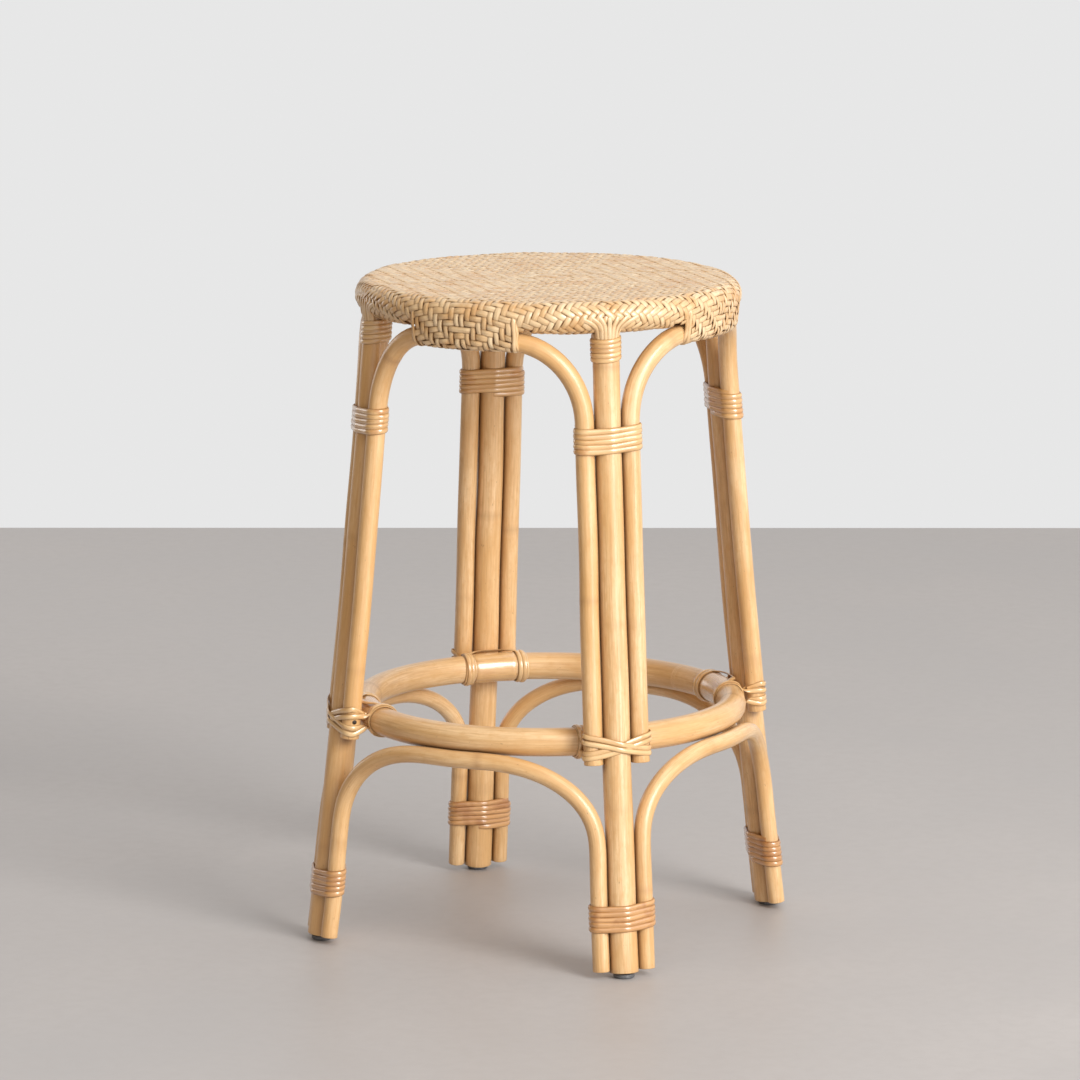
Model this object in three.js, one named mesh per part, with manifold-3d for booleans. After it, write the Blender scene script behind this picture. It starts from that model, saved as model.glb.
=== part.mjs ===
import * as THREE from 'three';
import { mergeVertices } from 'three/addons/utils/BufferGeometryUtils.js';
import Module from 'manifold-3d';

// Round backless counter stool in rattan: four splayed legs of three poles each, arches under
// the seat and above the floor, a round foot ring inside the legs and a woven seat.
// Millimetres, +Z up, floor at z = 0, stool axis on the Z axis, legs on the diagonals.

// Overall
const SEAT_TOP = 660;
const CLEARANCE = 0.3;
const CUT_TOLERANCE = 0.04;
const LEG_ANGLES = { front_right: -45, back_right: 45, back_left: 135, front_left: -135 };
const SIDE_ANGLES = { front: -90, right: 0, back: 90, left: 180 };

// Main posts: distance of the bowed axis from the stool axis at three heights, and the taper
const FOOT_HEIGHT = 5;
const RING_HEIGHT = 226;
const SHOULDER_HEIGHT = 626;
const AXIS_AT_FOOT = 238.5;
const AXIS_AT_RING = 213.9;
const AXIS_AT_SHOULDER = 177.6;
const POST_RADIUS_FOOT = 14.5;
const POST_RADIUS_TOP = 13;
const POST_SIDES = 16;
const POST_STATIONS = 6;

// Seat hoop, board and woven cover
const HOOP_RADIUS = 176.3;
const HOOP_POLE_RADIUS = 13;
const RIM_RADIUS = 16.2;
const WEAVE_THICKNESS = 2.9;
const RIM_HEIGHT = SEAT_TOP - RIM_RADIUS;
const POST_TOP = RIM_HEIGHT - HOOP_POLE_RADIUS - CLEARANCE;
const HOOP_SEGMENTS = 40;
const HOOP_SIDES = 12;
const RIM_WRAP_START = THREE.MathUtils.degToRad(90);
const RIM_WRAP_END = THREE.MathUtils.degToRad(-150);
const RIM_STEPS = 8;
const BOARD_THICKNESS = 9;
const SKIRT_HALF_ANGLE = THREE.MathUtils.degToRad(17.5);
const SKIRT_STEPS = 6;
const SKIRT_ARC_STEPS = 6;
const SKIRT_SLACK = 1.7;
const SLOT_HALF_ANGLE = THREE.MathUtils.degToRad(21.5);
const SLOT_HALF_WIDTH = 7.5;
const SLOT_DEPTH = 4;

// Arches
const UPPER_ARCH = {
  poleRadius: 9.5,
  endHeight: 209,
  leaveHeight: 540,
  topHeight: RIM_HEIGHT - HOOP_POLE_RADIUS - 9.5 - CLEARANCE,
  topRadius: 177.5,
  bendWidth: 74,
  roundness: 2,
};
const LOWER_ARCH = {
  poleRadius: 8.5,
  endHeight: 7,
  leaveHeight: 125,
  topHeight: 207.5,
  topRadius: 199.7,
  bendWidth: 115,
  roundness: 2.4,
};
const ARCH_SIDES = 10;
const ARCH_STRAIGHT_STEPS = 3;
const ARCH_BEND_STEPS = 6;
const ARCH_TOP_STEPS = 2;

// Foot ring
const RING_POLE_RADIUS = 14;
const RING_SIDES = 12;
const RING_SEGMENTS = 48;

// Peel bindings
const PEEL_THICKNESS = 2.2;
const PEEL_GROOVE = 1;
const PEEL_TURNS = 5;
const BIND_CLEARANCE = 0.75;
const BIND_ARC_STEP = THREE.MathUtils.degToRad(40);
const TOP_BIND_SIDES = 12;
const TOP_BIND = { bottom: 600, top: SEAT_TOP - 2 * RIM_RADIUS - CLEARANCE };
const BUNDLE_BIND = { bottom: 511.5, top: 541.5 };
const FOOT_BIND = { bottom: 46, top: 77 };
const LASHING = { bottom: 214.5, top: 238.5, turns: 2 };
const LASHING_BAND_OFFSET = 33;
const LASHING_BAND_WIDTH = 10;
const LASHING_STRIP = 1.3;
const LASHING_TRIM = 26;

// Fixings
const SCREW_HEAD_RADIUS = 3.6;
const SCREW_HEAD_HEIGHT = 2;
const SCREW_SHANK_RADIUS = 1.9;
const SCREW_LENGTH = 40;
const SCREW_RECESS = 3;
const SCREW_SIDES = 10;
const GLIDE_RADIUS = 10.5;
const GLIDE_EDGE = 1;

// ---------------------------------------------------------------- solid helpers

const wasm = await Module();
wasm.setup();

function toSolid(geometry) {
  const bare = geometry.clone();
  bare.deleteAttribute('normal');
  bare.deleteAttribute('uv');
  const welded = mergeVertices(bare, 1e-4);
  const corners = Array.from(welded.index.array);
  const faces = [];
  for (let i = 0; i < corners.length; i += 3) {
    const [a, b, c] = corners.slice(i, i + 3);
    if (a !== b && b !== c && c !== a) {
      faces.push(a, b, c);
    }
  }
  const mesh = new wasm.Mesh({
    numProp: 3,
    vertProperties: new Float32Array(welded.attributes.position.array),
    triVerts: new Uint32Array(faces),
  });
  mesh.merge();
  return new wasm.Manifold(mesh);
}

// Slivers left by the cuts are merged away before the solid becomes a mesh
function toGeometry(solid) {
  const mesh = solid.simplify(CUT_TOLERANCE).getMesh();
  const geometry = new THREE.BufferGeometry();
  geometry.setAttribute('position', new THREE.BufferAttribute(mesh.vertProperties, mesh.numProp));
  geometry.setIndex(new THREE.BufferAttribute(mesh.triVerts, 1));
  geometry.computeVertexNormals();
  return geometry;
}

function subtractAll(solid, cutters) {
  return cutters.reduce((rest, cutter) => rest.subtract(cutter), solid);
}

function circlePoints(radius, sides) {
  const points = [];
  for (let i = 0; i < sides; i += 1) {
    const turn = (i / sides) * Math.PI * 2;
    points.push(new THREE.Vector2(radius * Math.cos(turn), radius * Math.sin(turn)));
  }
  return points;
}

// A solid turned about the Z axis from a profile of (radius, height) points
function turned(profile, segments) {
  const geometry = new THREE.LatheGeometry(profile, segments);
  geometry.rotateX(Math.PI / 2);
  return geometry;
}

// A section of (radius, height) points swept round the Z axis between two angles, ends closed
function sweptRound(section, fromAngle, toAngle, steps) {
  const geometry = new THREE.ExtrudeGeometry(new THREE.Shape(section), {
    depth: toAngle - fromAngle,
    steps,
    bevelEnabled: false,
  });
  const position = geometry.attributes.position;
  for (let i = 0; i < position.count; i += 1) {
    const radius = position.getX(i);
    const height = position.getY(i);
    const angle = toAngle - position.getZ(i);
    position.setXYZ(i, radius * Math.cos(angle), radius * Math.sin(angle), height);
  }
  return geometry;
}

// ---------------------------------------------------------------- leg and arch lines

// Distance of a post's axis from the stool axis: a parabola through foot, ring and shoulder
function legRadius(z) {
  const foot = ((z - RING_HEIGHT) * (z - SHOULDER_HEIGHT))
    / ((FOOT_HEIGHT - RING_HEIGHT) * (FOOT_HEIGHT - SHOULDER_HEIGHT));
  const ring = ((z - FOOT_HEIGHT) * (z - SHOULDER_HEIGHT))
    / ((RING_HEIGHT - FOOT_HEIGHT) * (RING_HEIGHT - SHOULDER_HEIGHT));
  const shoulder = ((z - FOOT_HEIGHT) * (z - RING_HEIGHT))
    / ((SHOULDER_HEIGHT - FOOT_HEIGHT) * (SHOULDER_HEIGHT - RING_HEIGHT));
  return AXIS_AT_FOOT * foot + AXIS_AT_RING * ring + AXIS_AT_SHOULDER * shoulder;
}

function postRadius(z) {
  const share = (z - FOOT_HEIGHT) / (POST_TOP - FOOT_HEIGHT);
  return THREE.MathUtils.lerp(POST_RADIUS_FOOT, POST_RADIUS_TOP, share);
}

// Where a pole lying against the post's flank has its centre, sideways from the post's axis
function flankOffset(z, poleRadius) {
  return postRadius(z) + poleRadius + CLEARANCE;
}

// One half of an arch as (distance from the stool axis, swing from the arch's middle, height)
function halfArch(arch) {
  const stations = [];
  for (let i = 0; i <= ARCH_STRAIGHT_STEPS; i += 1) {
    const z = THREE.MathUtils.lerp(arch.endHeight, arch.leaveHeight, i / ARCH_STRAIGHT_STEPS);
    const aside = flankOffset(z, arch.poleRadius);
    const reach = Math.hypot(legRadius(z), aside);
    stations.push([reach, Math.PI / 4 - Math.atan2(aside, legRadius(z)), z]);
  }
  const startSwing = stations[ARCH_STRAIGHT_STEPS][1];
  const startArc = startSwing * arch.topRadius;
  const power = 2 / arch.roundness;
  for (let i = 1; i <= ARCH_BEND_STEPS; i += 1) {
    const share = i / ARCH_BEND_STEPS;
    const turn = (share * Math.PI) / 2;
    const rise = Math.sin(turn) ** power;
    const inward = 1 - Math.max(0, Math.cos(turn)) ** power;
    const z = THREE.MathUtils.lerp(arch.leaveHeight, arch.topHeight, rise);
    const aside = flankOffset(z, arch.poleRadius);
    const blend = THREE.MathUtils.smoothstep(share, 0, 1);
    const reach = THREE.MathUtils.lerp(Math.hypot(legRadius(z), aside), arch.topRadius, blend);
    stations.push([reach, (startArc - arch.bendWidth * inward) / arch.topRadius, z]);
  }
  const flatArc = startArc - arch.bendWidth;
  for (let i = 1; i <= ARCH_TOP_STEPS; i += 1) {
    const swing = (flatArc * (1 - i / ARCH_TOP_STEPS)) / arch.topRadius;
    stations.push([arch.topRadius, swing, arch.topHeight]);
  }
  return stations;
}

// The whole arch centred on the +X side, from the foot of one leg over to the other
function archPoints(arch) {
  const half = halfArch(arch);
  const place = (sign) => ([reach, swing, z]) => (
    new THREE.Vector3(reach * Math.cos(swing), sign * reach * Math.sin(swing), z)
  );
  const rising = half.map(place(-1));
  const falling = half.slice(0, -1).reverse().map(place(1));
  return rising.concat(falling);
}

// A spline sampled exactly at its own points, so bends keep the close stations given to them
class StationCurve extends THREE.CatmullRomCurve3 {
  getUtoTmapping(u) {
    return u;
  }
}

function archPole(arch, poleRadius) {
  const points = archPoints(arch);
  return new THREE.ExtrudeGeometry(new THREE.Shape(circlePoints(poleRadius, ARCH_SIDES)), {
    steps: points.length - 1,
    extrudePath: new StationCurve(points),
    bevelEnabled: false,
  });
}

// A turned pole bent so that its axis follows the leg line, standing over the +X axis
function bowed(geometry) {
  const position = geometry.attributes.position;
  for (let i = 0; i < position.count; i += 1) {
    position.setX(i, position.getX(i) + legRadius(position.getZ(i)));
  }
  return geometry;
}

function postPole(extra, bottom, top) {
  const profile = [new THREE.Vector2(0, bottom)];
  for (let i = 0; i <= POST_STATIONS; i += 1) {
    const z = THREE.MathUtils.lerp(bottom, top, i / POST_STATIONS);
    profile.push(new THREE.Vector2(postRadius(z) + extra, z));
  }
  profile.push(new THREE.Vector2(0, top));
  return bowed(turned(profile, POST_SIDES));
}

// ---------------------------------------------------------------- peel bindings

// Outline of a string pulled tight round circles {x, y, r} listed counter-clockwise,
// grown outward by an amount; x points away from the stool axis
function tautOutline(circles, grow) {
  const tangents = circles.map((from, i) => {
    const to = circles[(i + 1) % circles.length];
    const dx = to.x - from.x;
    const dy = to.y - from.y;
    return Math.atan2(dy, dx) - Math.acos((from.r - to.r) / Math.hypot(dx, dy));
  });
  const points = [];
  circles.forEach((circle, i) => {
    const start = tangents[(i + circles.length - 1) % circles.length];
    let sweep = tangents[i] - start;
    while (sweep < 0) {
      sweep += Math.PI * 2;
    }
    const steps = Math.max(1, Math.round(sweep / BIND_ARC_STEP));
    for (let k = 0; k <= steps; k += 1) {
      const turn = start + (sweep * k) / steps;
      const reach = circle.r + grow;
      points.push([circle.x + reach * Math.cos(turn), circle.y + reach * Math.sin(turn)]);
    }
  });
  return points;
}

// Rounded ridges, one for each turn of peel, as (growth, height) points
function ridgeProfile(bottom, top, turns, inner) {
  const pitch = (top - bottom) / turns;
  const outer = inner + PEEL_THICKNESS;
  const profile = [[inner, bottom]];
  for (let i = 0; i < turns; i += 1) {
    if (i > 0) {
      profile.push([outer - PEEL_GROOVE, bottom + i * pitch]);
    }
    profile.push([outer, bottom + (i + 0.5) * pitch]);
  }
  profile.push([inner, top]);
  return profile;
}

// A closed band: the outline drawn once for every profile point and skinned both ways round
function bandGeometry(profile, outlineAt) {
  const rows = profile.map(([grow, z]) => outlineAt(grow, z).map(([x, y]) => [x, y, z]));
  const width = rows[0].length;
  const faces = [];
  for (let i = 0; i < rows.length; i += 1) {
    for (let j = 0; j < width; j += 1) {
      const a = i * width + j;
      const b = i * width + ((j + 1) % width);
      const c = ((i + 1) % rows.length) * width + ((j + 1) % width);
      const d = ((i + 1) % rows.length) * width + j;
      faces.push(a, b, c, a, c, d);
    }
  }
  const geometry = new THREE.BufferGeometry();
  geometry.setAttribute('position', new THREE.Float32BufferAttribute(rows.flat(2), 3));
  geometry.setIndex(faces);
  geometry.computeVertexNormals();
  return geometry;
}

function bundleCircles(z, poleRadius) {
  const aside = flankOffset(z, poleRadius);
  const post = { x: legRadius(z), y: 0, r: postRadius(z) };
  return [
    post,
    { x: legRadius(z), y: aside, r: poleRadius },
    post,
    { x: legRadius(z), y: -aside, r: poleRadius },
  ];
}

function bundleBind(span, poleRadius) {
  const profile = ridgeProfile(span.bottom, span.top, PEEL_TURNS, BIND_CLEARANCE);
  return bandGeometry(profile, (grow, z) => tautOutline(bundleCircles(z, poleRadius), grow));
}

function topBind() {
  const profile = ridgeProfile(TOP_BIND.bottom, TOP_BIND.top, PEEL_TURNS, BIND_CLEARANCE);
  return bandGeometry(profile, (grow, z) => (
    circlePoints(postRadius(z) + grow, TOP_BIND_SIDES).map((p) => [p.x + legRadius(z), p.y])
  ));
}

// ---------------------------------------------------------------- foot ring and lashing

const RING_RADIUS = AXIS_AT_RING - postRadius(RING_HEIGHT) - RING_POLE_RADIUS - CLEARANCE;

function ringSection(radius) {
  return circlePoints(radius, RING_SIDES).map((p) => (
    new THREE.Vector2(p.x + RING_RADIUS, p.y + RING_HEIGHT)
  ));
}

function ringArc(radius, fromAngle, toAngle) {
  const steps = Math.max(1, Math.round((toAngle - fromAngle) / (Math.PI / 36)));
  return toSolid(sweptRound(ringSection(radius), fromAngle, toAngle, steps));
}

// The clearance hole for the screw that pins the ring to a post on the +X axis
function screwHole() {
  const recessFloor = AXIS_AT_RING + postRadius(RING_HEIGHT) - SCREW_RECESS;
  const reach = SCREW_LENGTH + CLEARANCE;
  const shank = new THREE.CylinderGeometry(
    SCREW_SHANK_RADIUS + CLEARANCE,
    SCREW_SHANK_RADIUS + CLEARANCE,
    reach + SCREW_RECESS,
    SCREW_SIDES,
  );
  shank.rotateZ(Math.PI / 2);
  shank.translate(recessFloor - reach + (reach + SCREW_RECESS) / 2, 0, RING_HEIGHT);
  const head = new THREE.CylinderGeometry(
    SCREW_HEAD_RADIUS + CLEARANCE,
    SCREW_HEAD_RADIUS + CLEARANCE,
    SCREW_RECESS + CLEARANCE,
    SCREW_SIDES,
  );
  head.rotateZ(Math.PI / 2);
  head.translate(recessFloor + (SCREW_RECESS + CLEARANCE) / 2, 0, RING_HEIGHT);
  return toSolid(shank).add(toSolid(head));
}

function ringScrew() {
  const profile = [
    new THREE.Vector2(0, -SCREW_LENGTH),
    new THREE.Vector2(SCREW_SHANK_RADIUS, -SCREW_LENGTH + SCREW_SHANK_RADIUS),
    new THREE.Vector2(SCREW_SHANK_RADIUS, 0),
    new THREE.Vector2(SCREW_HEAD_RADIUS, 0),
    new THREE.Vector2(SCREW_HEAD_RADIUS, SCREW_HEAD_HEIGHT),
    new THREE.Vector2(0, SCREW_HEAD_HEIGHT),
  ];
  const geometry = turned(profile, SCREW_SIDES);
  geometry.rotateY(Math.PI / 2);
  geometry.translate(AXIS_AT_RING + postRadius(RING_HEIGHT) - SCREW_RECESS + CLEARANCE, 0, RING_HEIGHT);
  return geometry;
}

function footRing() {
  const geometry = new THREE.TorusGeometry(RING_RADIUS, RING_POLE_RADIUS, RING_SIDES, RING_SEGMENTS);
  geometry.translate(0, 0, RING_HEIGHT);
  const holes = Object.values(LEG_ANGLES).map((angle) => screwHole().rotate([0, 0, angle]));
  return toGeometry(subtractAll(toSolid(geometry), holes));
}

// Peel strips that tie the ring to a leg: two bands and a sleeve on the ring, and a strap
// carried from them round the outside of the three poles
function ringLashing() {
  const bandAngle = Math.asin(LASHING_BAND_OFFSET / RING_RADIUS);
  const halfBand = LASHING_BAND_WIDTH / 2 / RING_RADIUS;
  const bandRadius = RING_POLE_RADIUS + BIND_CLEARANCE + PEEL_THICKNESS;
  const sleeveRadius = RING_POLE_RADIUS + BIND_CLEARANCE + LASHING_STRIP;
  const onRing = ringArc(bandRadius, -bandAngle - halfBand, -bandAngle + halfBand)
    .add(ringArc(bandRadius, bandAngle - halfBand, bandAngle + halfBand))
    .add(ringArc(sleeveRadius, -bandAngle, bandAngle));
  const poles = bundleCircles(RING_HEIGHT, UPPER_ARCH.poleRadius);
  const ringCorner = (y) => ({ x: RING_RADIUS, y, r: RING_POLE_RADIUS });
  const corner = poles[1].y + poles[1].r - RING_POLE_RADIUS;
  const circles = [poles[0], poles[1], ringCorner(corner), ringCorner(-corner), poles[3]];
  const profile = ridgeProfile(LASHING.bottom, LASHING.top, LASHING.turns, BIND_CLEARANCE);
  const strap = toSolid(bandGeometry(profile, (grow) => tautOutline(circles, grow)))
    .trimByPlane([1, 0, 0], AXIS_AT_RING - LASHING_TRIM);
  const quarter = Math.PI / 4;
  const cutters = [
    ringArc(RING_POLE_RADIUS + BIND_CLEARANCE, -quarter / 2, quarter / 2),
    toSolid(postPole(CLEARANCE, FOOT_HEIGHT, POST_TOP)),
    toSolid(archPole(UPPER_ARCH, UPPER_ARCH.poleRadius + CLEARANCE)).rotate([0, 0, 45]),
    toSolid(archPole(UPPER_ARCH, UPPER_ARCH.poleRadius + CLEARANCE)).rotate([0, 0, -45]),
    screwHole(),
  ];
  return toGeometry(subtractAll(onRing.add(strap), cutters));
}

// ---------------------------------------------------------------- seat

function arcPoints(centreRadius, centreHeight, radius, from, to, steps) {
  const points = [];
  for (let i = 0; i <= steps; i += 1) {
    const turn = THREE.MathUtils.lerp(from, to, i / steps);
    const x = centreRadius + radius * Math.cos(turn);
    points.push(new THREE.Vector2(x, centreHeight + radius * Math.sin(turn)));
  }
  return points;
}

// Top sheet carried over the rim and back underneath the hoop
function seatSheet() {
  const inner = RIM_RADIUS - WEAVE_THICKNESS;
  const outerArc = arcPoints(
    HOOP_RADIUS, RIM_HEIGHT, RIM_RADIUS, RIM_WRAP_START, RIM_WRAP_END, RIM_STEPS,
  );
  const innerArc = arcPoints(
    HOOP_RADIUS, RIM_HEIGHT, inner, RIM_WRAP_END, RIM_WRAP_START, RIM_STEPS,
  );
  const profile = [
    new THREE.Vector2(0, RIM_HEIGHT + RIM_RADIUS),
    ...outerArc,
    ...innerArc,
    new THREE.Vector2(0, RIM_HEIGHT + inner),
  ];
  return toSolid(turned(profile.reverse(), HOOP_SEGMENTS));
}

// The half-round tuck of a skirt under an arch pole, from its inner side to its outer side
function skirtTuck(radius) {
  return arcPoints(
    UPPER_ARCH.topRadius, UPPER_ARCH.topHeight, radius, -Math.PI, 0, SKIRT_ARC_STEPS,
  );
}

// A tongue of the weave carried down over an arch and tucked up behind it
function seatSkirt() {
  const inner = UPPER_ARCH.poleRadius + CLEARANCE + SKIRT_SLACK;
  const outer = inner + WEAVE_THICKNESS;
  const tuckTop = RIM_HEIGHT - HOOP_POLE_RADIUS * Math.sin(Math.PI / 4);
  const rimReach = HOOP_RADIUS + RIM_RADIUS;
  const section = [
    new THREE.Vector2(UPPER_ARCH.topRadius - outer, tuckTop),
    ...skirtTuck(outer),
    new THREE.Vector2(rimReach, RIM_HEIGHT),
    new THREE.Vector2(rimReach - WEAVE_THICKNESS + CLEARANCE, RIM_HEIGHT),
    ...skirtTuck(inner).reverse(),
    new THREE.Vector2(UPPER_ARCH.topRadius - inner, tuckTop),
  ];
  return toSolid(sweptRound(section, -SKIRT_HALF_ANGLE, SKIRT_HALF_ANGLE, SKIRT_STEPS));
}

// The slot in the sheet under the hoop that lets an arch pole lie against the hoop
function archSlot() {
  const bottom = RIM_HEIGHT - RIM_RADIUS - CLEARANCE;
  const section = [
    new THREE.Vector2(UPPER_ARCH.topRadius - SLOT_HALF_WIDTH, bottom),
    new THREE.Vector2(UPPER_ARCH.topRadius + SLOT_HALF_WIDTH, bottom),
    new THREE.Vector2(UPPER_ARCH.topRadius + SLOT_HALF_WIDTH, bottom + SLOT_DEPTH),
    new THREE.Vector2(UPPER_ARCH.topRadius - SLOT_HALF_WIDTH, bottom + SLOT_DEPTH),
  ];
  return toSolid(sweptRound(section, -SLOT_HALF_ANGLE, SLOT_HALF_ANGLE, SKIRT_STEPS));
}

function seatWeave() {
  let cover = seatSheet();
  const cutters = [];
  const postStub = toSolid(postPole(CLEARANCE, TOP_BIND.bottom, POST_TOP + CLEARANCE));
  const slot = archSlot();
  const skirt = seatSkirt();
  Object.values(SIDE_ANGLES).forEach((angle) => {
    cover = cover.add(skirt.rotate([0, 0, angle]));
    cutters.push(slot.rotate([0, 0, angle]));
    cutters.push(postStub.rotate([0, 0, angle + 45]));
  });
  return toGeometry(subtractAll(cover, cutters));
}

function seatHoop() {
  const geometry = new THREE.TorusGeometry(HOOP_RADIUS, HOOP_POLE_RADIUS, HOOP_SIDES, HOOP_SEGMENTS);
  geometry.translate(0, 0, RIM_HEIGHT);
  return geometry;
}

function seatBoard() {
  const radius = HOOP_RADIUS - HOOP_POLE_RADIUS - CLEARANCE;
  const top = SEAT_TOP - WEAVE_THICKNESS - CLEARANCE;
  const profile = [
    new THREE.Vector2(0, top - BOARD_THICKNESS),
    new THREE.Vector2(radius, top - BOARD_THICKNESS),
    new THREE.Vector2(radius, top),
    new THREE.Vector2(0, top),
  ];
  return turned(profile, HOOP_SEGMENTS);
}

function glide() {
  const top = FOOT_HEIGHT - CLEARANCE;
  const profile = [
    new THREE.Vector2(0, 0),
    new THREE.Vector2(GLIDE_RADIUS - GLIDE_EDGE, 0),
    new THREE.Vector2(GLIDE_RADIUS, GLIDE_EDGE),
    new THREE.Vector2(GLIDE_RADIUS, top),
    new THREE.Vector2(0, top),
  ];
  const geometry = turned(profile, POST_SIDES);
  geometry.translate(legRadius(FOOT_HEIGHT), 0, 0);
  return geometry;
}

// ---------------------------------------------------------------- assembly

const stool = new THREE.Group();
stool.name = 'bar_stool';

function addPiece(name, geometry, angle, look) {
  const mesh = new THREE.Mesh(geometry, new THREE.MeshStandardMaterial(look));
  mesh.name = name;
  mesh.rotation.z = THREE.MathUtils.degToRad(angle);
  stool.add(mesh);
}

const POLE_LOOK = { color: 0xdcae72, roughness: 0.38, metalness: 0 };
const BIND_LOOK = { color: 0xd8a262, roughness: 0.32, metalness: 0 };
const FOOT_BIND_LOOK = { color: 0xb87a41, roughness: 0.32, metalness: 0 };
const LASHING_LOOK = { color: 0xe2c08a, roughness: 0.34, metalness: 0 };
const WEAVE_LOOK = { color: 0xd6b681, roughness: 0.5, metalness: 0 };
const BOARD_LOOK = { color: 0xc8a776, roughness: 0.7, metalness: 0 };
const GLIDE_LOOK = { color: 0x66686c, roughness: 0.55, metalness: 0 };
const SCREW_LOOK = { color: 0x4c443c, roughness: 0.4, metalness: 0.8 };

const postGeometry = toGeometry(toSolid(postPole(0, FOOT_HEIGHT, POST_TOP)).subtract(screwHole()));
const legPieces = [
  ['post', postGeometry, POLE_LOOK],
  ['post_top_wrap', topBind(), BIND_LOOK],
  ['leg_wrap', bundleBind(BUNDLE_BIND, UPPER_ARCH.poleRadius), BIND_LOOK],
  ['foot_wrap', bundleBind(FOOT_BIND, LOWER_ARCH.poleRadius), FOOT_BIND_LOOK],
  ['ring_lashing', ringLashing(), LASHING_LOOK],
  ['ring_screw', ringScrew(), SCREW_LOOK],
  ['glide', glide(), GLIDE_LOOK],
];
legPieces.forEach(([piece, geometry, look]) => {
  Object.entries(LEG_ANGLES).forEach(([leg, angle]) => {
    addPiece(`${piece}_${leg}`, geometry, angle, look);
  });
});

const sidePieces = [
  ['upper_arch', archPole(UPPER_ARCH, UPPER_ARCH.poleRadius), POLE_LOOK],
  ['lower_arch', archPole(LOWER_ARCH, LOWER_ARCH.poleRadius), POLE_LOOK],
];
sidePieces.forEach(([piece, geometry, look]) => {
  Object.entries(SIDE_ANGLES).forEach(([side, angle]) => {
    addPiece(`${piece}_${side}`, geometry, angle, look);
  });
});

addPiece('foot_ring', footRing(), 0, POLE_LOOK);
addPiece('seat_hoop', seatHoop(), 0, POLE_LOOK);
addPiece('seat_board', seatBoard(), 0, BOARD_LOOK);
addPiece('seat_weave', seatWeave(), 0, WEAVE_LOOK);

export default stool;
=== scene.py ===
"""Rattan bar stool with a foot ring and a woven seat: the looks, built round the CAD frame.

Lengths are in millimetres until a mesh is made, which turns them into metres.
"""

import math
import random

import bpy
import numpy as np
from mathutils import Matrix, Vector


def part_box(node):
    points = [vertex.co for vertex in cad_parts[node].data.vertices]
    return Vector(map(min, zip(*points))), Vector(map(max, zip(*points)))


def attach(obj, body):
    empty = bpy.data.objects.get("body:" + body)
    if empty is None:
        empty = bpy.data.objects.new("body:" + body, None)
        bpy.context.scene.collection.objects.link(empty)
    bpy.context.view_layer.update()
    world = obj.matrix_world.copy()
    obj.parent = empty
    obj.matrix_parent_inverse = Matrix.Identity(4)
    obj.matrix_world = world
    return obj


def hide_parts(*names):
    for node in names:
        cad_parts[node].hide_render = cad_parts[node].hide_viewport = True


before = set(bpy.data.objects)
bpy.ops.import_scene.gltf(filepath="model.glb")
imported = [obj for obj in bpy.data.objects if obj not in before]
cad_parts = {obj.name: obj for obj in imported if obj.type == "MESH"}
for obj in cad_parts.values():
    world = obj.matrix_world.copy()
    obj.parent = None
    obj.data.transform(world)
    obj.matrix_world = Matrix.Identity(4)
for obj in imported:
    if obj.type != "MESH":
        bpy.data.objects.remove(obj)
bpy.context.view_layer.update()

MM = 0.001
SEED = 4127
ANY_TURN = 6.28
LEG_ANGLES = {"front_right": -45, "back_right": 45, "back_left": 135, "front_left": -135}
SIDE_ANGLES = {"front": -90, "right": 0, "back": 90, "left": 180}

# ---- sizes, as in the CAD ----


def node_box(name):
    """Lowest and highest corner of a CAD node, in millimetres."""
    low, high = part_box(name)
    return np.array(low) / MM, np.array(high) / MM


BOARD_LOW, BOARD_HIGH = node_box("seat_board")

FOOT_HEIGHT = 5.0
RING_HEIGHT = 226.0
SHOULDER_HEIGHT = 626.0
AXIS_AT_FOOT = 238.5
AXIS_AT_RING = 213.9
AXIS_AT_SHOULDER = 177.6
POST_RADIUS_FOOT = 14.5
POST_RADIUS_TOP = 13.0
POST_TOP = 630.5
CLEARANCE = 0.3

HOOP_RADIUS = 176.3
HOOP_POLE_RADIUS = 13.0
RIM_HEIGHT = 643.8
RING_POLE_RADIUS = 14.0

UPPER_ARCH = {
    "pole_radius": 9.5, "end": 209.0, "leave": 540.0, "top": 621.0,
    "top_radius": 177.5, "bend_width": 74.0, "roundness": 2.0,
}
LOWER_ARCH = {
    "pole_radius": 8.5, "end": 7.0, "leave": 125.0, "top": 207.5,
    "top_radius": 199.7, "bend_width": 115.0, "roundness": 2.4,
}

TOP_BIND = (600.0, 627.3)
BUNDLE_BIND = (511.5, 541.5)
FOOT_BIND = (46.0, 77.0)
PEEL_TURNS = 5


POST_BOW = (
    (FOOT_HEIGHT, AXIS_AT_FOOT), (RING_HEIGHT, AXIS_AT_RING), (SHOULDER_HEIGHT, AXIS_AT_SHOULDER),
)


def leg_radius(z):
    """Distance of a post's axis from the stool axis: a parabola through foot, ring and shoulder."""
    total = 0.0
    for i, (height, radius) in enumerate(POST_BOW):
        (a, _), (b, _) = POST_BOW[i - 1], POST_BOW[i - 2]
        total = total + radius * (z - a) * (z - b) / ((height - a) * (height - b))
    return total


def post_radius(z):
    share = (z - FOOT_HEIGHT) / (POST_TOP - FOOT_HEIGHT)
    return POST_RADIUS_FOOT + (POST_RADIUS_TOP - POST_RADIUS_FOOT) * share


RING_RADIUS = AXIS_AT_RING - post_radius(RING_HEIGHT) - RING_POLE_RADIUS - CLEARANCE


def flank_offset(z, pole_radius):
    """Where a pole against the post's flank has its centre, sideways from the post's axis."""
    return post_radius(z) + pole_radius + CLEARANCE


# ---- small helpers ----


def lerp(a, b, share):
    return a + (b - a) * share


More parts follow.
